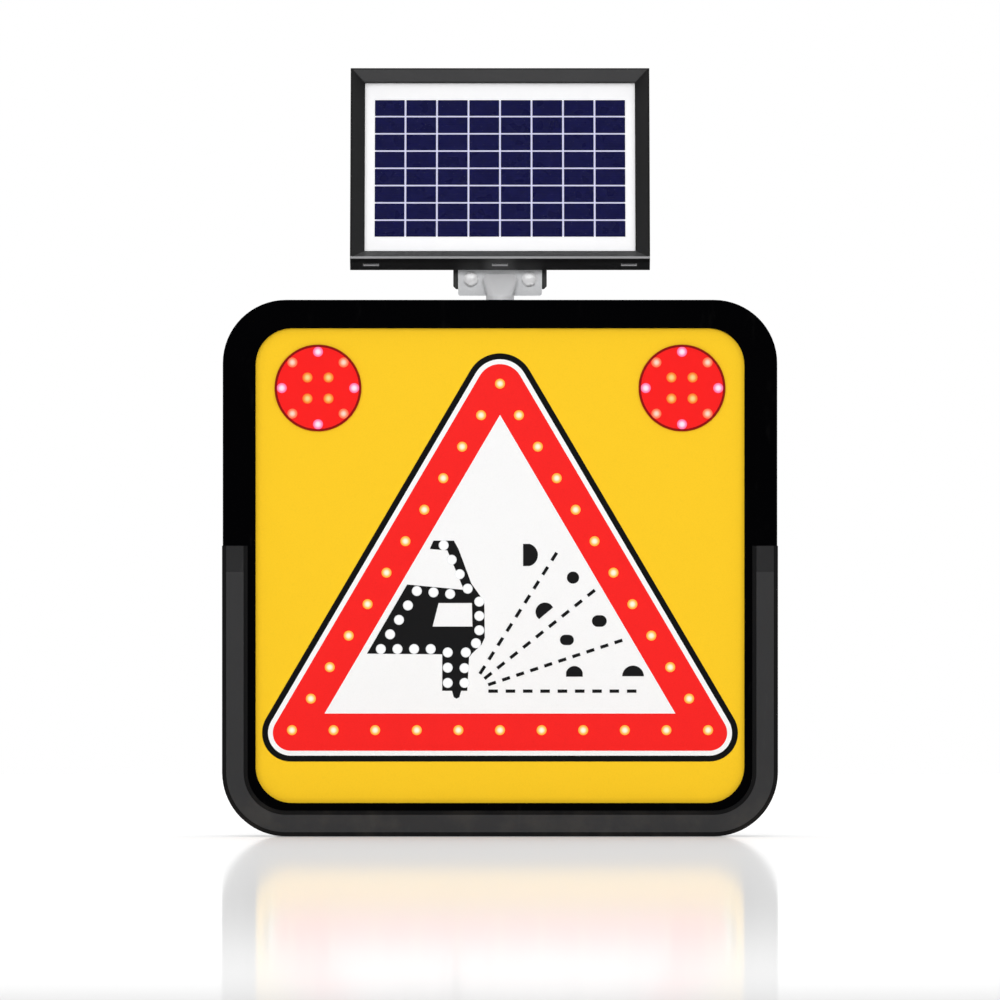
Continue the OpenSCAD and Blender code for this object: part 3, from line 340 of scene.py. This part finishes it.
def framePaint():
    f = Finish("panelFrameBlack", specular=0.3)
    line = {name: size * mm for name, size in frameLines.items()}
    x, y, z = f.axes(panelPlace(f))
    fromSide = panelWide / 2 - abs(x)
    fromEnd = panelTall / 2 - abs(z - panelTall / 2)
    slope = panelSize["end"] / panelSize["side"]
    alongSide = (fromSide * slope).under(fromEnd)
    inward = (fromSide * slope).calc("MINIMUM", fromEnd)
    mitre = abs(fromSide * slope - fromEnd).under(line["mitre"])
    onFront = (0 - y).over(panelThick - line["frontDeep"])
    rim = inward.under(line["rim"]) * onFront
    # Painted shade: a dark band on the bevel just before the glass, standing in for the shaded inner wall of
    # the frame
    glassEdgeShade = inward.over(panelSize["end"] * mm - line["glassEdgeShade"]) * onFront
    # Painted highlight: a pale line along the front of the lower edge, where the edge catches the light
    lowEdgeHighlight = z.under(line["lowEdgeTall"]) * (0 - y).over(panelThick - line["lowEdgeDeep"])
    # Painted reflection: the faces inside the three underside slots are painted pale grey, as a light
    # reflection seen in them
    slotPitch = panelWide * slotShare
    fromSlot = abs(abs(abs(x) - slotPitch / 2) - slotPitch / 2)
    inSlot = abs(y + line["slotFromBack"]).under(line["slotDeep"])
    slotReflection = fromSlot.under(line["slotHalf"]) * inSlot * z.under(line["slotTall"])
    clouds = f.noise(0.05, 4.0)
    fine = f.noise(0.5 * mm, 2.0, f.mapped(scale=(0.1, 1, 1)))
    # Painted light: the top and bottom bevels are painted lighter and the side bevels darker, as they look
    # lit from above; the frame's own black is the same all round
    sides = f.mix(clouds, tone(20, 20, 21), tone(26, 26, 27))
    endsLit = f.mix(clouds, tone(46, 46, 47), tone(54, 54, 55))
    shade = f.mix(alongSide * onFront, f.mix(onFront, tone(26, 26, 27), endsLit), sides)
    # Dark lines: the mitre joints at the corners and the outer rim, plus the painted shade band next to the
    # glass
    dark = (mitre * onFront).calc("MAXIMUM", glassEdgeShade).calc("MAXIMUM", rim)
    shade = f.mix(dark, shade, tone(6, 6, 6))
    shade = f.mix(lowEdgeHighlight, shade, tone(150, 150, 152))
    f.put("Base Color", f.mix(slotReflection, shade, tone(176, 176, 178)))
    f.put("Roughness", 0.4 + (clouds - 0.5) * 0.14 + fine * 0.06)
    f.bump(fine * 0.3 - mitre * onFront * 3.0, 0.04 * mm)
    return f.material


def cellPaint():
    f = Finish("solarCell", roughness=0.3, specular=0.1)
    place = panelPlace(f)
    up = f.axes(place)[2]
    crystals = f.cells(7 * mm, "Color", vector=place)
    tint = f.add("ShaderNodeSeparateColor", {}, [crystals], 0)
    fingers = abs((up / (2.1 * mm)).fraction() - 0.5).under(0.06)
    blue = f.mix(tint * 0.6, tone(8, 9, 62), tone(13, 14, 74))
    f.put("Base Color", f.mix(fingers * 0.05, blue, tone(110, 114, 180)))
    f.put("Roughness", 0.26 + tint * 0.12)
    f.bump(fingers, 0.02 * mm)
    return f.material


# Ribbon-white sheet behind the cells, with a faint painted glow that lifts it where the frame and the glass
# shade it
def backsheetPaint():
    f = Finish("backsheetWhite", roughness=0.5, specular=0.3)
    # Painted light: a faint white glow, though the sheet is no lamp
    f.put("Emission Color", (1, 1, 1, 1))
    f.shader.inputs["Emission Strength"].default_value = 0.14
    weave = f.noise(1.4 * mm, 2.0)
    clouds = f.noise(0.05, 3.0)
    x, y, z = f.axes(panelPlace(f))
    cellLow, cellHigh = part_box("solar_cells")
    fromMiddle = abs(z - panelTall / 2)
    gridHalf = (cellHigh.z - cellLow.z) / leanCos / 2
    between = abs(x).under(cellHigh.x - 1 * mm) * fromMiddle.under(gridHalf - 1 * mm)
    white = f.mix(clouds, tone(250, 250, 253), tone(255, 255, 255))
    f.put("Base Color", f.mix(between * 0.8, white, tone(196, 196, 240)))
    f.put("Roughness", 0.45 + weave * 0.1)
    f.bump(weave, 0.02 * mm)
    return f.material


# Clear front glass: mostly open when seen straight on, with a veil of dust and more sheen at a slant
def glassPaint():
    f = Finish("panelGlass", roughness=0.06, specular=0.3)
    slant = f.add("ShaderNodeLayerWeight", {}, {"Blend": 0.25}, "Fresnel")
    dust = f.noise(0.02, 6.0).ramp(0.45, 0.8)
    f.put("Base Color", f.mix(dust, tone(8, 10, 14), tone(90, 88, 84)))
    f.put("Alpha", 0.002 + slant * 0.15 + dust * 0.008)
    f.put("Roughness", 0.05 + dust * 0.12)
    return f.material


wear(framePaint(), "panel_frame")
wear(cellPaint(), "solar_cells")
wear(backsheetPaint(), "cell_backsheet")


# Front pane with ground edges. Its back lies a hair in front of the cells, as faces at the very
# same depth would hide each other by chance
paneSize = {"clear": 0.05, "groundEdge": 0.4}


def glassPane(finish, size=paneSize):
    upright = panelToWorld.inverted()
    points = [upright @ v.co for v in nodes["panel_glass"].data.vertices]
    low = Vector([min(p[k] for p in points) for k in range(3)])
    high = Vector([max(p[k] for p in points) for k in range(3)])
    high.y -= size["clear"] * mm
    build = bmesh.new()
    bmesh.ops.create_cube(build, size=1.0)
    bmesh.ops.scale(build, vec=high - low, verts=build.verts)
    bmesh.ops.translate(build, vec=(low + high) / 2, verts=build.verts)
    bmesh.ops.bevel(build, geom=build.edges, offset=size["groundEdge"] * mm, segments=2, affect="EDGES")
    bmesh.ops.transform(build, matrix=panelToWorld, verts=build.verts)
    bmesh.ops.recalc_face_normals(build, faces=build.faces)
    mesh = bpy.data.meshes.new("glassPane")
    build.to_mesh(mesh)
    build.free()
    mesh.materials.append(finish)
    pane = bpy.data.objects.new("glassPane", mesh)
    bpy.context.scene.collection.objects.link(pane)
    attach(pane, "panel")
    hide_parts("panel_glass")


glassPane(glassPaint())
print("stage: materials on", len(finishes), "nodes")


def soften(width, *names, segments=2):
    for name in names:
        part = nodes[name]
        weld = part.modifiers.new("joinTriangles", "WELD")
        weld.merge_threshold = 0.002 * mm
        rounded = part.modifiers.new("roundEdges", "BEVEL")
        rounded.width = width * mm
        rounded.segments = segments
        rounded.limit_method = "ANGLE"
        rounded.angle_limit = math.radians(40)
        rounded.use_clamp_overlap = True
        rounded.harden_normals = False
        rounded.miter_outer = "MITER_ARC"


softEdges = {
    0.9: ["front_frame", "rear_shell", "battery_hatch", "junction_box"],
    0.35: ["lower_guard", "guard_strip", "guard_end_caps", "flasher_rims", "switch_body", "hatch_seal"],
    0.5: [
        "upper_rail", "lower_rail", "clamp_straps", "tilt_yoke", "mast_plate", "panel_bracket",
        "battery_tray"
    ],
    0.6: ["panel_frame", "clamp_saddles", "mast_socket", "panel_back_plate"],
    0.3: [
        "hatch_lock_body", "hatch_lock_cam", "switch_rocker", "clamp_bolts", "bracket_screws",
        "hatch_hinge_leaf"
    ],
}
for width, names in softEdges.items():
    soften(width, *names)


# One tree for everything that repeats: a shape on every point, laid over by one turn and spun by chance
def buildRepeatTree():
    tree = bpy.data.node_groups.new("repeatParts", "GeometryNodeTree")
    face = tree.interface
    face.new_socket(name="Places", in_out="INPUT", socket_type="NodeSocketGeometry")
    face.new_socket(name="Shape", in_out="INPUT", socket_type="NodeSocketObject")
    face.new_socket(name="Lay Over", in_out="INPUT", socket_type="NodeSocketVector")
    face.new_socket(name="Spin", in_out="INPUT", socket_type="NodeSocketFloat")
    face.new_socket(name="Seed", in_out="INPUT", socket_type="NodeSocketInt")
    face.new_socket(name="Finish", in_out="INPUT", socket_type="NodeSocketMaterial")
    face.new_socket(name="Parts", in_out="OUTPUT", socket_type="NodeSocketGeometry")
    make = tree.nodes.new
    start = make("NodeGroupInput")
    points = make("GeometryNodeMeshToPoints")
    shape = make("GeometryNodeObjectInfo")
    placed = make("GeometryNodeInstanceOnPoints")
    chance = make("FunctionNodeRandomValue")
    chance.data_type = "FLOAT"
    negative = make("ShaderNodeMath")
    negative.operation = "MULTIPLY"
    negative.inputs[1].default_value = -1.0
    turn = make("ShaderNodeCombineXYZ")
    spun = make("GeometryNodeRotateInstances")
    spun.inputs["Local Space"].default_value = True
    real = make("GeometryNodeRealizeInstances")
    painted = make("GeometryNodeSetMaterial")
    end = make("NodeGroupOutput")
    join = tree.links.new
    join(start.outputs["Places"], points.inputs["Mesh"])
    join(start.outputs["Shape"], shape.inputs["Object"])
    join(points.outputs["Points"], placed.inputs["Points"])
    join(shape.outputs["Geometry"], placed.inputs["Instance"])
    join(start.outputs["Lay Over"], placed.inputs["Rotation"])
    join(start.outputs["Spin"], negative.inputs[0])
    join(negative.outputs[0], chance.inputs[2])
    join(start.outputs["Spin"], chance.inputs[3])
    join(start.outputs["Seed"], chance.inputs["Seed"])
    join(chance.outputs[1], turn.inputs["Z"])
    join(placed.outputs["Instances"], spun.inputs["Instances"])
    join(turn.outputs["Vector"], spun.inputs["Rotation"])
    join(spun.outputs["Instances"], real.inputs["Geometry"])
    join(real.outputs["Geometry"], painted.inputs["Geometry"])
    join(start.outputs["Finish"], painted.inputs["Material"])
    join(painted.outputs["Geometry"], end.inputs["Parts"])
    return tree


repeatTree = buildRepeatTree()
socketOf = {s.name: s.identifier for s in repeatTree.interface.items_tree if s.item_type == "SOCKET"}


def repeat(name, shape, places, body, finish, layOver=(0, 0, 0), spin=0.0, seed=7):
    points = bpy.data.meshes.new(name + "Places")
    points.from_pydata([tuple(p) for p in places], [], [])
    holder = bpy.data.objects.new(name + "Places", points)
    bpy.context.scene.collection.objects.link(holder)
    modifier = holder.modifiers.new("repeat", "NODES")
    modifier.node_group = repeatTree
    values = {"Shape": shape, "Lay Over": layOver, "Spin": spin, "Seed": seed, "Finish": finish}
    for label, value in values.items():
        modifier[socketOf[label]] = value
    graph = bpy.context.evaluated_depsgraph_get()
    made = bpy.data.meshes.new_from_object(holder.evaluated_get(graph), depsgraph=graph)
    made.name = name
    bpy.data.objects.remove(holder)
    bpy.data.objects.remove(shape)
    piece = bpy.data.objects.new(name, made)
    bpy.context.scene.collection.objects.link(piece)
    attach(piece, body)
    return piece


# Closed shape through a stack of rings with the same number of points, smooth except at real edges
def ringStack(name, rings, keepRadius=None, crease=32):
    build = bmesh.new()
    layer = build.verts.layers.float.new("fromAxis")
    rows = []
    for ring in rings:
        row = []
        for x, y, z in ring:
            vertex = build.verts.new((x * mm, y * mm, z * mm))
            vertex[layer] = math.hypot(x, y) / keepRadius if keepRadius else 0.0
            row.append(vertex)
        rows.append(row)
    count = len(rows[0])
    for low, high in zip(rows, rows[1:]):
        for i in range(count):
            j = (i + 1) % count
            build.faces.new((low[i], low[j], high[j], high[i]))
    build.faces.new(list(reversed(rows[0])))
    build.faces.new(rows[-1])
    bmesh.ops.recalc_face_normals(build, faces=build.faces)
    mesh = bpy.data.meshes.new(name)
    build.to_mesh(mesh)
    build.free()
    mesh.shade_smooth()
    mesh.set_sharp_from_angle(angle=math.radians(crease))
    shape = bpy.data.objects.new(name, mesh)
    bpy.context.scene.collection.objects.link(shape)
    return shape


def circle(radius, z, count):
    step = 2 * math.pi / count
    return [(radius * math.cos(i * step), radius * math.sin(i * step), z) for i in range(count)]


# Ring of a hexagon, cut round where the chamfer reaches in
def hexagon(across, z, count=24, limit=None):
    points = []
    for i in range(count):
        angle = 2 * math.pi * i / count
        fold = (angle % (math.pi / 3)) - math.pi / 6
        radius = across / 2 / math.cos(fold)
        if limit:
            radius = min(radius, limit)
        points.append((radius * math.cos(angle), radius * math.sin(angle), z))
    return points


def joined(name, shapes):
    build = bmesh.new()
    for shape in shapes:
        build.from_mesh(shape.data)
    mesh = bpy.data.meshes.new(name)
    build.to_mesh(mesh)
    build.free()
    for shape in shapes:
        bpy.data.objects.remove(shape)
    mesh.shade_smooth()
    mesh.set_sharp_from_angle(angle=math.radians(32))
    whole = bpy.data.objects.new(name, mesh)
    bpy.context.scene.collection.objects.link(whole)
    return whole


# Boxes of the separate surfaces in a CAD node, one for each solid that stands by itself
def looseBoxes(node):
    build = bmesh.new()
    build.from_mesh(nodes[node].data)
    bmesh.ops.remove_doubles(build, verts=build.verts, dist=0.001 * mm)
    left = set(build.verts)
    boxes = []
    while left:
        queue = [left.pop()]
        island = []
        while queue:
            vertex = queue.pop()
            island.append(vertex.co)
            for edge in vertex.link_edges:
                other = edge.other_vert(vertex)
                if other in left:
                    left.remove(other)
                    queue.append(other)
        low = Vector([min(p[k] for p in island) for k in range(3)])
        high = Vector([max(p[k] for p in island) for k in range(3)])
        boxes.append((low, high))
    build.free()
    return sorted(boxes, key=lambda b: (round(b[0].z, 4), round(b[0].x, 4)))


# As looseBoxes, but boxes that overlap count as one, which keeps a bolt and its washers together
def solidsOf(node):
    boxes = looseBoxes(node)
    slack = 0.05 * mm
    found = []
    while boxes:
        low, high = boxes.pop()
        grown = True
        while grown:
            grown = False
            for other in boxes[:]:
                if all(low[k] - slack <= other[1][k] and other[0][k] - slack <= high[k] for k in range(3)):
                    low = Vector([min(low[k], other[0][k]) for k in range(3)])
                    high = Vector([max(high[k], other[1][k]) for k in range(3)])
                    boxes.remove(other)
                    grown = True
        found.append((low, high))
    return sorted(found, key=lambda b: (round(b[0].z, 4), round(b[0].x, 4)))


ledLook = {"radius": 5.0, "flange": 5.8, "flangeTall": 1.0, "height": 13.5, "sides": 20, "domeRings": 6}
towardsFront = (math.pi / 2, 0, 0)


def ledShape(look=ledLook):
    r = look["radius"]
    n = look["sides"]
    shoulder = look["height"] - r
    rings = [circle(look["flange"] - 0.2, 0, n), circle(look["flange"], 0.2, n)]
    rings += [circle(look["flange"], look["flangeTall"] - 0.2, n), circle(r + 0.1, look["flangeTall"], n)]
    rings += [circle(r, look["flangeTall"] + 0.3, n), circle(r, shoulder, n)]
    for i in range(1, look["domeRings"] + 1):
        angle = math.pi / 2 * i / (look["domeRings"] + 0.35)
        rings.append(circle(r * math.cos(angle), shoulder + r * math.sin(angle), n))
    return ringStack("ledShape", rings, keepRadius=r, crease=50)


# Foot of every LED in a node: the middle of its box, on its board. Neighbours' boxes may overlap
# at a slant where the LEDs don't, so each surface counts by itself and has to be one LED wide
def ledPlaces(node):
    boxes = looseBoxes(node)
    wide = 2 * ledLook["flange"] * mm
    for low, high in boxes:
        if abs(high.x - low.x - wide) > 0.1 * mm or abs(high.z - low.z - wide) > 0.1 * mm:
            raise ValueError(f"{node}: a box isn't one LED wide")
    print("LEDs in", node, len(boxes))
    return [Vector(((a.x + b.x) / 2, b.y, (a.z + b.z) / 2)) for a, b in boxes]


warmLamp = lamp("ledWarm", tone(255, 250, 226), tone(252, 176, 66), tone(96, 84, 60), 0.92, (0.2, 0.95))
whiteLamp = lamp("ledWhite", tone(255, 255, 255), tone(226, 228, 230), tone(120, 120, 120), 0.9, (0.7, 1.0))
pinkLamp = lamp("ledRose", tone(255, 240, 255), tone(250, 120, 170), tone(70, 50, 64), 0.9, (0.2, 0.98))
peachLamp = lamp("ledPeach", tone(255, 228, 206), tone(246, 120, 84), tone(70, 50, 40), 0.88, (0.1, 0.95))
amberLamp = lamp("ledAmber", tone(255, 222, 140), tone(240, 130, 50), tone(60, 46, 26), 0.88, (0.15, 0.95))

triangleLeds = repeat("triangleLeds", ledShape(), ledPlaces("triangle_leds"), "case", warmLamp, towardsFront)
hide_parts("triangle_leds")
pictogramPlaces = ledPlaces("pictogram_leds")
pictogramLeds = repeat("pictogramLeds", ledShape(), pictogramPlaces, "case", whiteLamp, towardsFront)
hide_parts("pictogram_leds")

discs = [(a + b) / 2 for a, b in solidsOf("flasher_discs")]
straight = []
diagonal = []
for place in ledPlaces("flasher_ring_leds"):
    nearest = min(discs, key=lambda c: (c.x - place.x) ** 2 + (c.z - place.z) ** 2)
    skew = min(abs(place.x - nearest.x), abs(place.z - nearest.z))
    (straight if skew < 5 * mm else diagonal).append(place)
ringRose = repeat("flasherRingRose", ledShape(), straight, "case", pinkLamp, towardsFront)
ringPeach = repeat("flasherRingPeach", ledShape(), diagonal, "case", peachLamp, towardsFront)
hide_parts("flasher_ring_leds")
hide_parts("flasher_ring_leds")
corePlaces = ledPlaces("flasher_core_leds")
coreLeds = repeat("flasherCoreLeds", ledShape(), corePlaces, "case", amberLamp, towardsFront)
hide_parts("flasher_core_leds")
print("stage: LEDs made")


roundSides = 24  # of every bolt and screw


# Chamfered hexagon with a rounded washer under it, from a plane at z towards +Z or -Z
def hexHead(across, tall, washerRadius, washerTall, z=0.0, way=1):
    def level(h):
        return z + way * h

    soft = 0.25
    washer = [
        circle(washerRadius - soft, level(0), roundSides),
        circle(washerRadius, level(soft), roundSides),
        circle(washerRadius, level(washerTall - soft), roundSides),
        circle(washerRadius - soft, level(washerTall), roundSides),
    ]
    top = washerTall + tall
    corner = across / math.sqrt(3)
    drop = (corner - across * 0.47) * math.tan(math.radians(30))
    head = [
        hexagon(across, level(washerTall)),
        hexagon(across, level(top - drop)),
        hexagon(across, level(top - drop * 0.35), limit=corner * 0.955),
        circle(across * 0.47, level(top), roundSides),
    ]
    return [ringStack("washer", washer), ringStack("hexHead", head, crease=24)]


def shank(radius, low, high):
    tip = 0.5
    thread = [circle(radius - tip, low, roundSides), circle(radius, low + tip, roundSides)]
    return ringStack("shank", thread + [circle(radius, high, roundSides)])


# Low dome head with a cross recess
def panHead(radius, tall, z=0.0):
    n = roundSides
    bite = radius * 0.5
    dome = [
        circle(radius * 0.98, z, n),
        circle(radius, z + tall * 0.2, n),
        circle(radius * 0.93, z + tall * 0.62, n),
        circle(radius * 0.74, z + tall * 0.9, n),
        circle(bite * 1.08, z + tall, n),
    ]

    def cross(scale, height):
        points = []
        for i in range(n):
            angle = 2 * math.pi * i / n
            arm = abs(math.cos(2 * angle)) ** 0.6
            reach = bite * scale * (0.42 + 0.58 * arm)
            points.append((reach * math.cos(angle), reach * math.sin(angle), height))
        return points

    dome += [cross(1.0, z + tall * 0.99), cross(0.7, z + tall * 0.35)]
    return ringStack("panHead", dome, crease=28)


# Groups the bolts in a node by length along an axis, so that each length gets a shape of its own
def byLength(node, axis=1):
    groups = {}
    for low, high in solidsOf(node):
        groups.setdefault(round((high[axis] - low[axis]) / mm, 1), []).append((low, high))
    return groups


def middle(pair, y):
    low, high = pair
    return Vector(((low.x + high.x) / 2, y, (low.z + high.z) / 2))


towardsBack = (-math.pi / 2, 0, 0)

# Case screws: the head stands on the back wall
caseScrew = {"head": (4.0, 2.4), "shank": 2.0}
pairs = solidsOf("case_screws")
length = (pairs[0][1].y - pairs[0][0].y) / mm
headTall = caseScrew["head"][1]
thread = shank(caseScrew["shank"], headTall - length, 0)
shape = joined("caseScrewShape", [panHead(*caseScrew["head"]), thread])
seat = pairs[0][1].y - headTall * mm
caseScrews = repeat("caseScrews", shape, [middle(p, seat) for p in pairs], "case", zinc, towardsBack, math.pi)
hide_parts("case_screws")

# Bolts through the back wall: the head stands outside
wallBolt = {"across": 10, "head": 4.0, "washer": (6.0, 1.2), "shank": 3.0}
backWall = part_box("rear_shell")[1].y
for length, pairs in byLength("back_wall_bolts").items():
    out = (pairs[0][1].y - backWall) / mm
    plate = out - wallBolt["head"] - wallBolt["washer"][1]
    radius, tall = wallBolt["washer"]
    inside = length - out
    shapes = hexHead(wallBolt["across"], wallBolt["head"], radius, tall, plate)
    shapes += [shank(wallBolt["shank"], -inside, plate)]
    shape = joined("wallBoltShape", shapes)
    name = "railBolts" if plate > 1 else "socketBolts"
    made = repeat(name, shape, [middle(p, backWall) for p in pairs], "case", zinc, towardsBack, math.pi)
    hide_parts("back_wall_bolts")

# Bolts through the mast's plate and the yoke: head in front, nut behind
yokeBolt = {"across": 13, "head": 5.3, "nut": 6.5, "washer": (8.0, 1.6), "grip": 8.0, "shank": 4.0}


def throughBolt(name, look, tail, innerWasher=None):
    shapes = hexHead(look["across"], look["head"], *look["washer"])
    shapes += hexHead(look["across"], look["nut"], *(innerWasher or look["washer"]), -look["grip"], -1)
    shapes.append(shank(look["shank"], -look["grip"] - tail, 0))
    return joined(name, shapes)


pairs = solidsOf("yoke_bolts")
headOut = (yokeBolt["head"] + yokeBolt["washer"][1]) * mm
tail = (pairs[0][1].y - pairs[0][0].y - headOut) / mm - yokeBolt["grip"]
places = [middle(p, p[0].y + headOut) for p in pairs]
shape = throughBolt("yokeBoltShape", yokeBolt, tail)
yokeBolts = repeat("yokeBolts", shape, places, "mast", boltZincSheen, towardsFront, math.pi, seed=3)
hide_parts("yoke_bolts")

# Pivot bolts: one from each side, the nut inside the bracket's ear
pivotBolt = dict(yokeBolt, grip=9.9)
for side, way in (("Left", -1), ("Right", 1)):
    low, high = [p for p in solidsOf("pivot_bolts") if (p[0].x + p[1].x) * way > 0][0]
    seat = high.x - headOut if way > 0 else low.x + headOut
    tail = (high.x - low.x - headOut) / mm - pivotBolt["grip"]
    shape = throughBolt("pivotBoltShape", pivotBolt, tail, (6.4, 1.0))
    place = Vector((seat, (low.y + high.y) / 2, (low.z + high.z) / 2))
    outwards = (0, way * math.pi / 2, 0)
    made = repeat("pivotBolt" + side, shape, [place], "mast", zinc, outwards, math.pi, seed=5)
    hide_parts("pivot_bolts")
print("stage: bolts made")

# Long lens from far off, level with the middle of the view
shot = {"lens": 600, "away": 18.04, "height": 0.364}

camera = bpy.data.objects.new("camera", bpy.data.cameras.new("camera"))
camera.data.lens = shot["lens"]
camera.data.clip_end = 200
camera.location = (0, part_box("triangle_red_film")[0].y - shot["away"], shot["height"])
camera.rotation_euler = (math.pi / 2, 0, 0)
bpy.context.scene.collection.objects.link(camera)
bpy.context.scene.camera = camera


def softbox(name, place, aim, size, power):
    light = bpy.data.lights.new(name, "AREA")
    light.shape = "RECTANGLE"
    light.size, light.size_y = size
    light.energy = power
    holder = bpy.data.objects.new(name, light)
    holder.location = place
    holder.rotation_euler = (Vector(aim) - Vector(place)).to_track_quat("-Z", "Y").to_euler()
    bpy.context.scene.collection.objects.link(holder)


target = (0, 0, 0.36)
softbox("overhead", (0, -3.0, 3.6), (0, -3.0, 0), (5.0, 12.0), 121)
softbox("leftFront", (-3.4, -3.6, 1.5), target, (1.6, 2.6), 15)
softbox("rightFront", (3.4, -3.6, 1.5), target, (1.6, 2.6), 15)
softbox("key", (0, -6.0, 1.9), target, (3.6, 1.5), 99)

# White surroundings to the camera and behind the sign, dimmer from the front so that blacks stay deep
world = bpy.data.worlds.new("studio")
bpy.context.scene.world = world
world.use_nodes = True
air = world.node_tree
place = air.nodes.new("ShaderNodeTexCoord")
split = air.nodes.new("ShaderNodeSeparateXYZ")
ahead = air.nodes.new("ShaderNodeMapRange")
ahead.inputs["From Min"].default_value = -0.25
ahead.inputs["From Max"].default_value = 0.25
ahead.inputs["To Min"].default_value = 0.22
ahead.inputs["To Max"].default_value = 1.0
ray = air.nodes.new("ShaderNodeLightPath")
strength = air.nodes.new("ShaderNodeMath")
strength.operation = "MAXIMUM"
air.links.new(place.outputs["Generated"], split.inputs[0])
air.links.new(split.outputs["Y"], ahead.inputs["Value"])
air.links.new(ahead.outputs[0], strength.inputs[0])
air.links.new(ray.outputs["Is Camera Ray"], strength.inputs[1])
air.links.new(strength.outputs[0], air.nodes["Background"].inputs["Strength"])
air.nodes["Background"].inputs["Color"].default_value = (1, 1, 1, 1)


# Pale polished floor whose reflection fades towards the camera
def floorPaint():
    f = Finish("studioFloor", roughness=0.6, specular=0.0)
    f.put("Emission Color", (1, 1, 1, 1))
    f.shader.inputs["Emission Strength"].default_value = 0.37
    mirror = f.add("ShaderNodeBsdfAnisotropic", {}, {"Roughness": 0.06, "Color": (1, 1, 1, 1)})
    x, y, z = f.axes()
    f.put("Base Color", (0.76 + y * 0.075).calc("MAXIMUM", 0.3))
    near = y.ramp(-7.4, -2.6)
    behind = 1 - y.ramp(0.1, 0.5)
    share = near * 0.37 * behind
    blend = f.tree.nodes.new("ShaderNodeMixShader")
    f.tree.links.new(share.socket, blend.inputs[0])
    f.tree.links.new(f.shader.outputs[0], blend.inputs[1])
    f.tree.links.new(mirror.socket, blend.inputs[2])
    f.tree.links.new(blend.outputs[0], f.tree.nodes["Material Output"].inputs[0])
    return f.material


floorLook = {"left": -5, "right": 5, "front": -10, "back": 4, "z": -0.0005}
corners = [
    (floorLook["left"], floorLook["front"], floorLook["z"]),
    (floorLook["right"], floorLook["front"], floorLook["z"]),
    (floorLook["right"], floorLook["back"], floorLook["z"]),
    (floorLook["left"], floorLook["back"], floorLook["z"]),
]
ground = bpy.data.meshes.new("studioFloor")
ground.from_pydata(corners, [], [(0, 1, 2, 3)])
ground.materials.append(floorPaint())
floor = bpy.data.objects.new("studioFloor", ground)
bpy.context.scene.collection.objects.link(floor)

bpy.context.scene.view_settings.view_transform = "Standard"
bpy.context.scene.view_settings.exposure = 0.0
print("stage: camera, light and floor set")
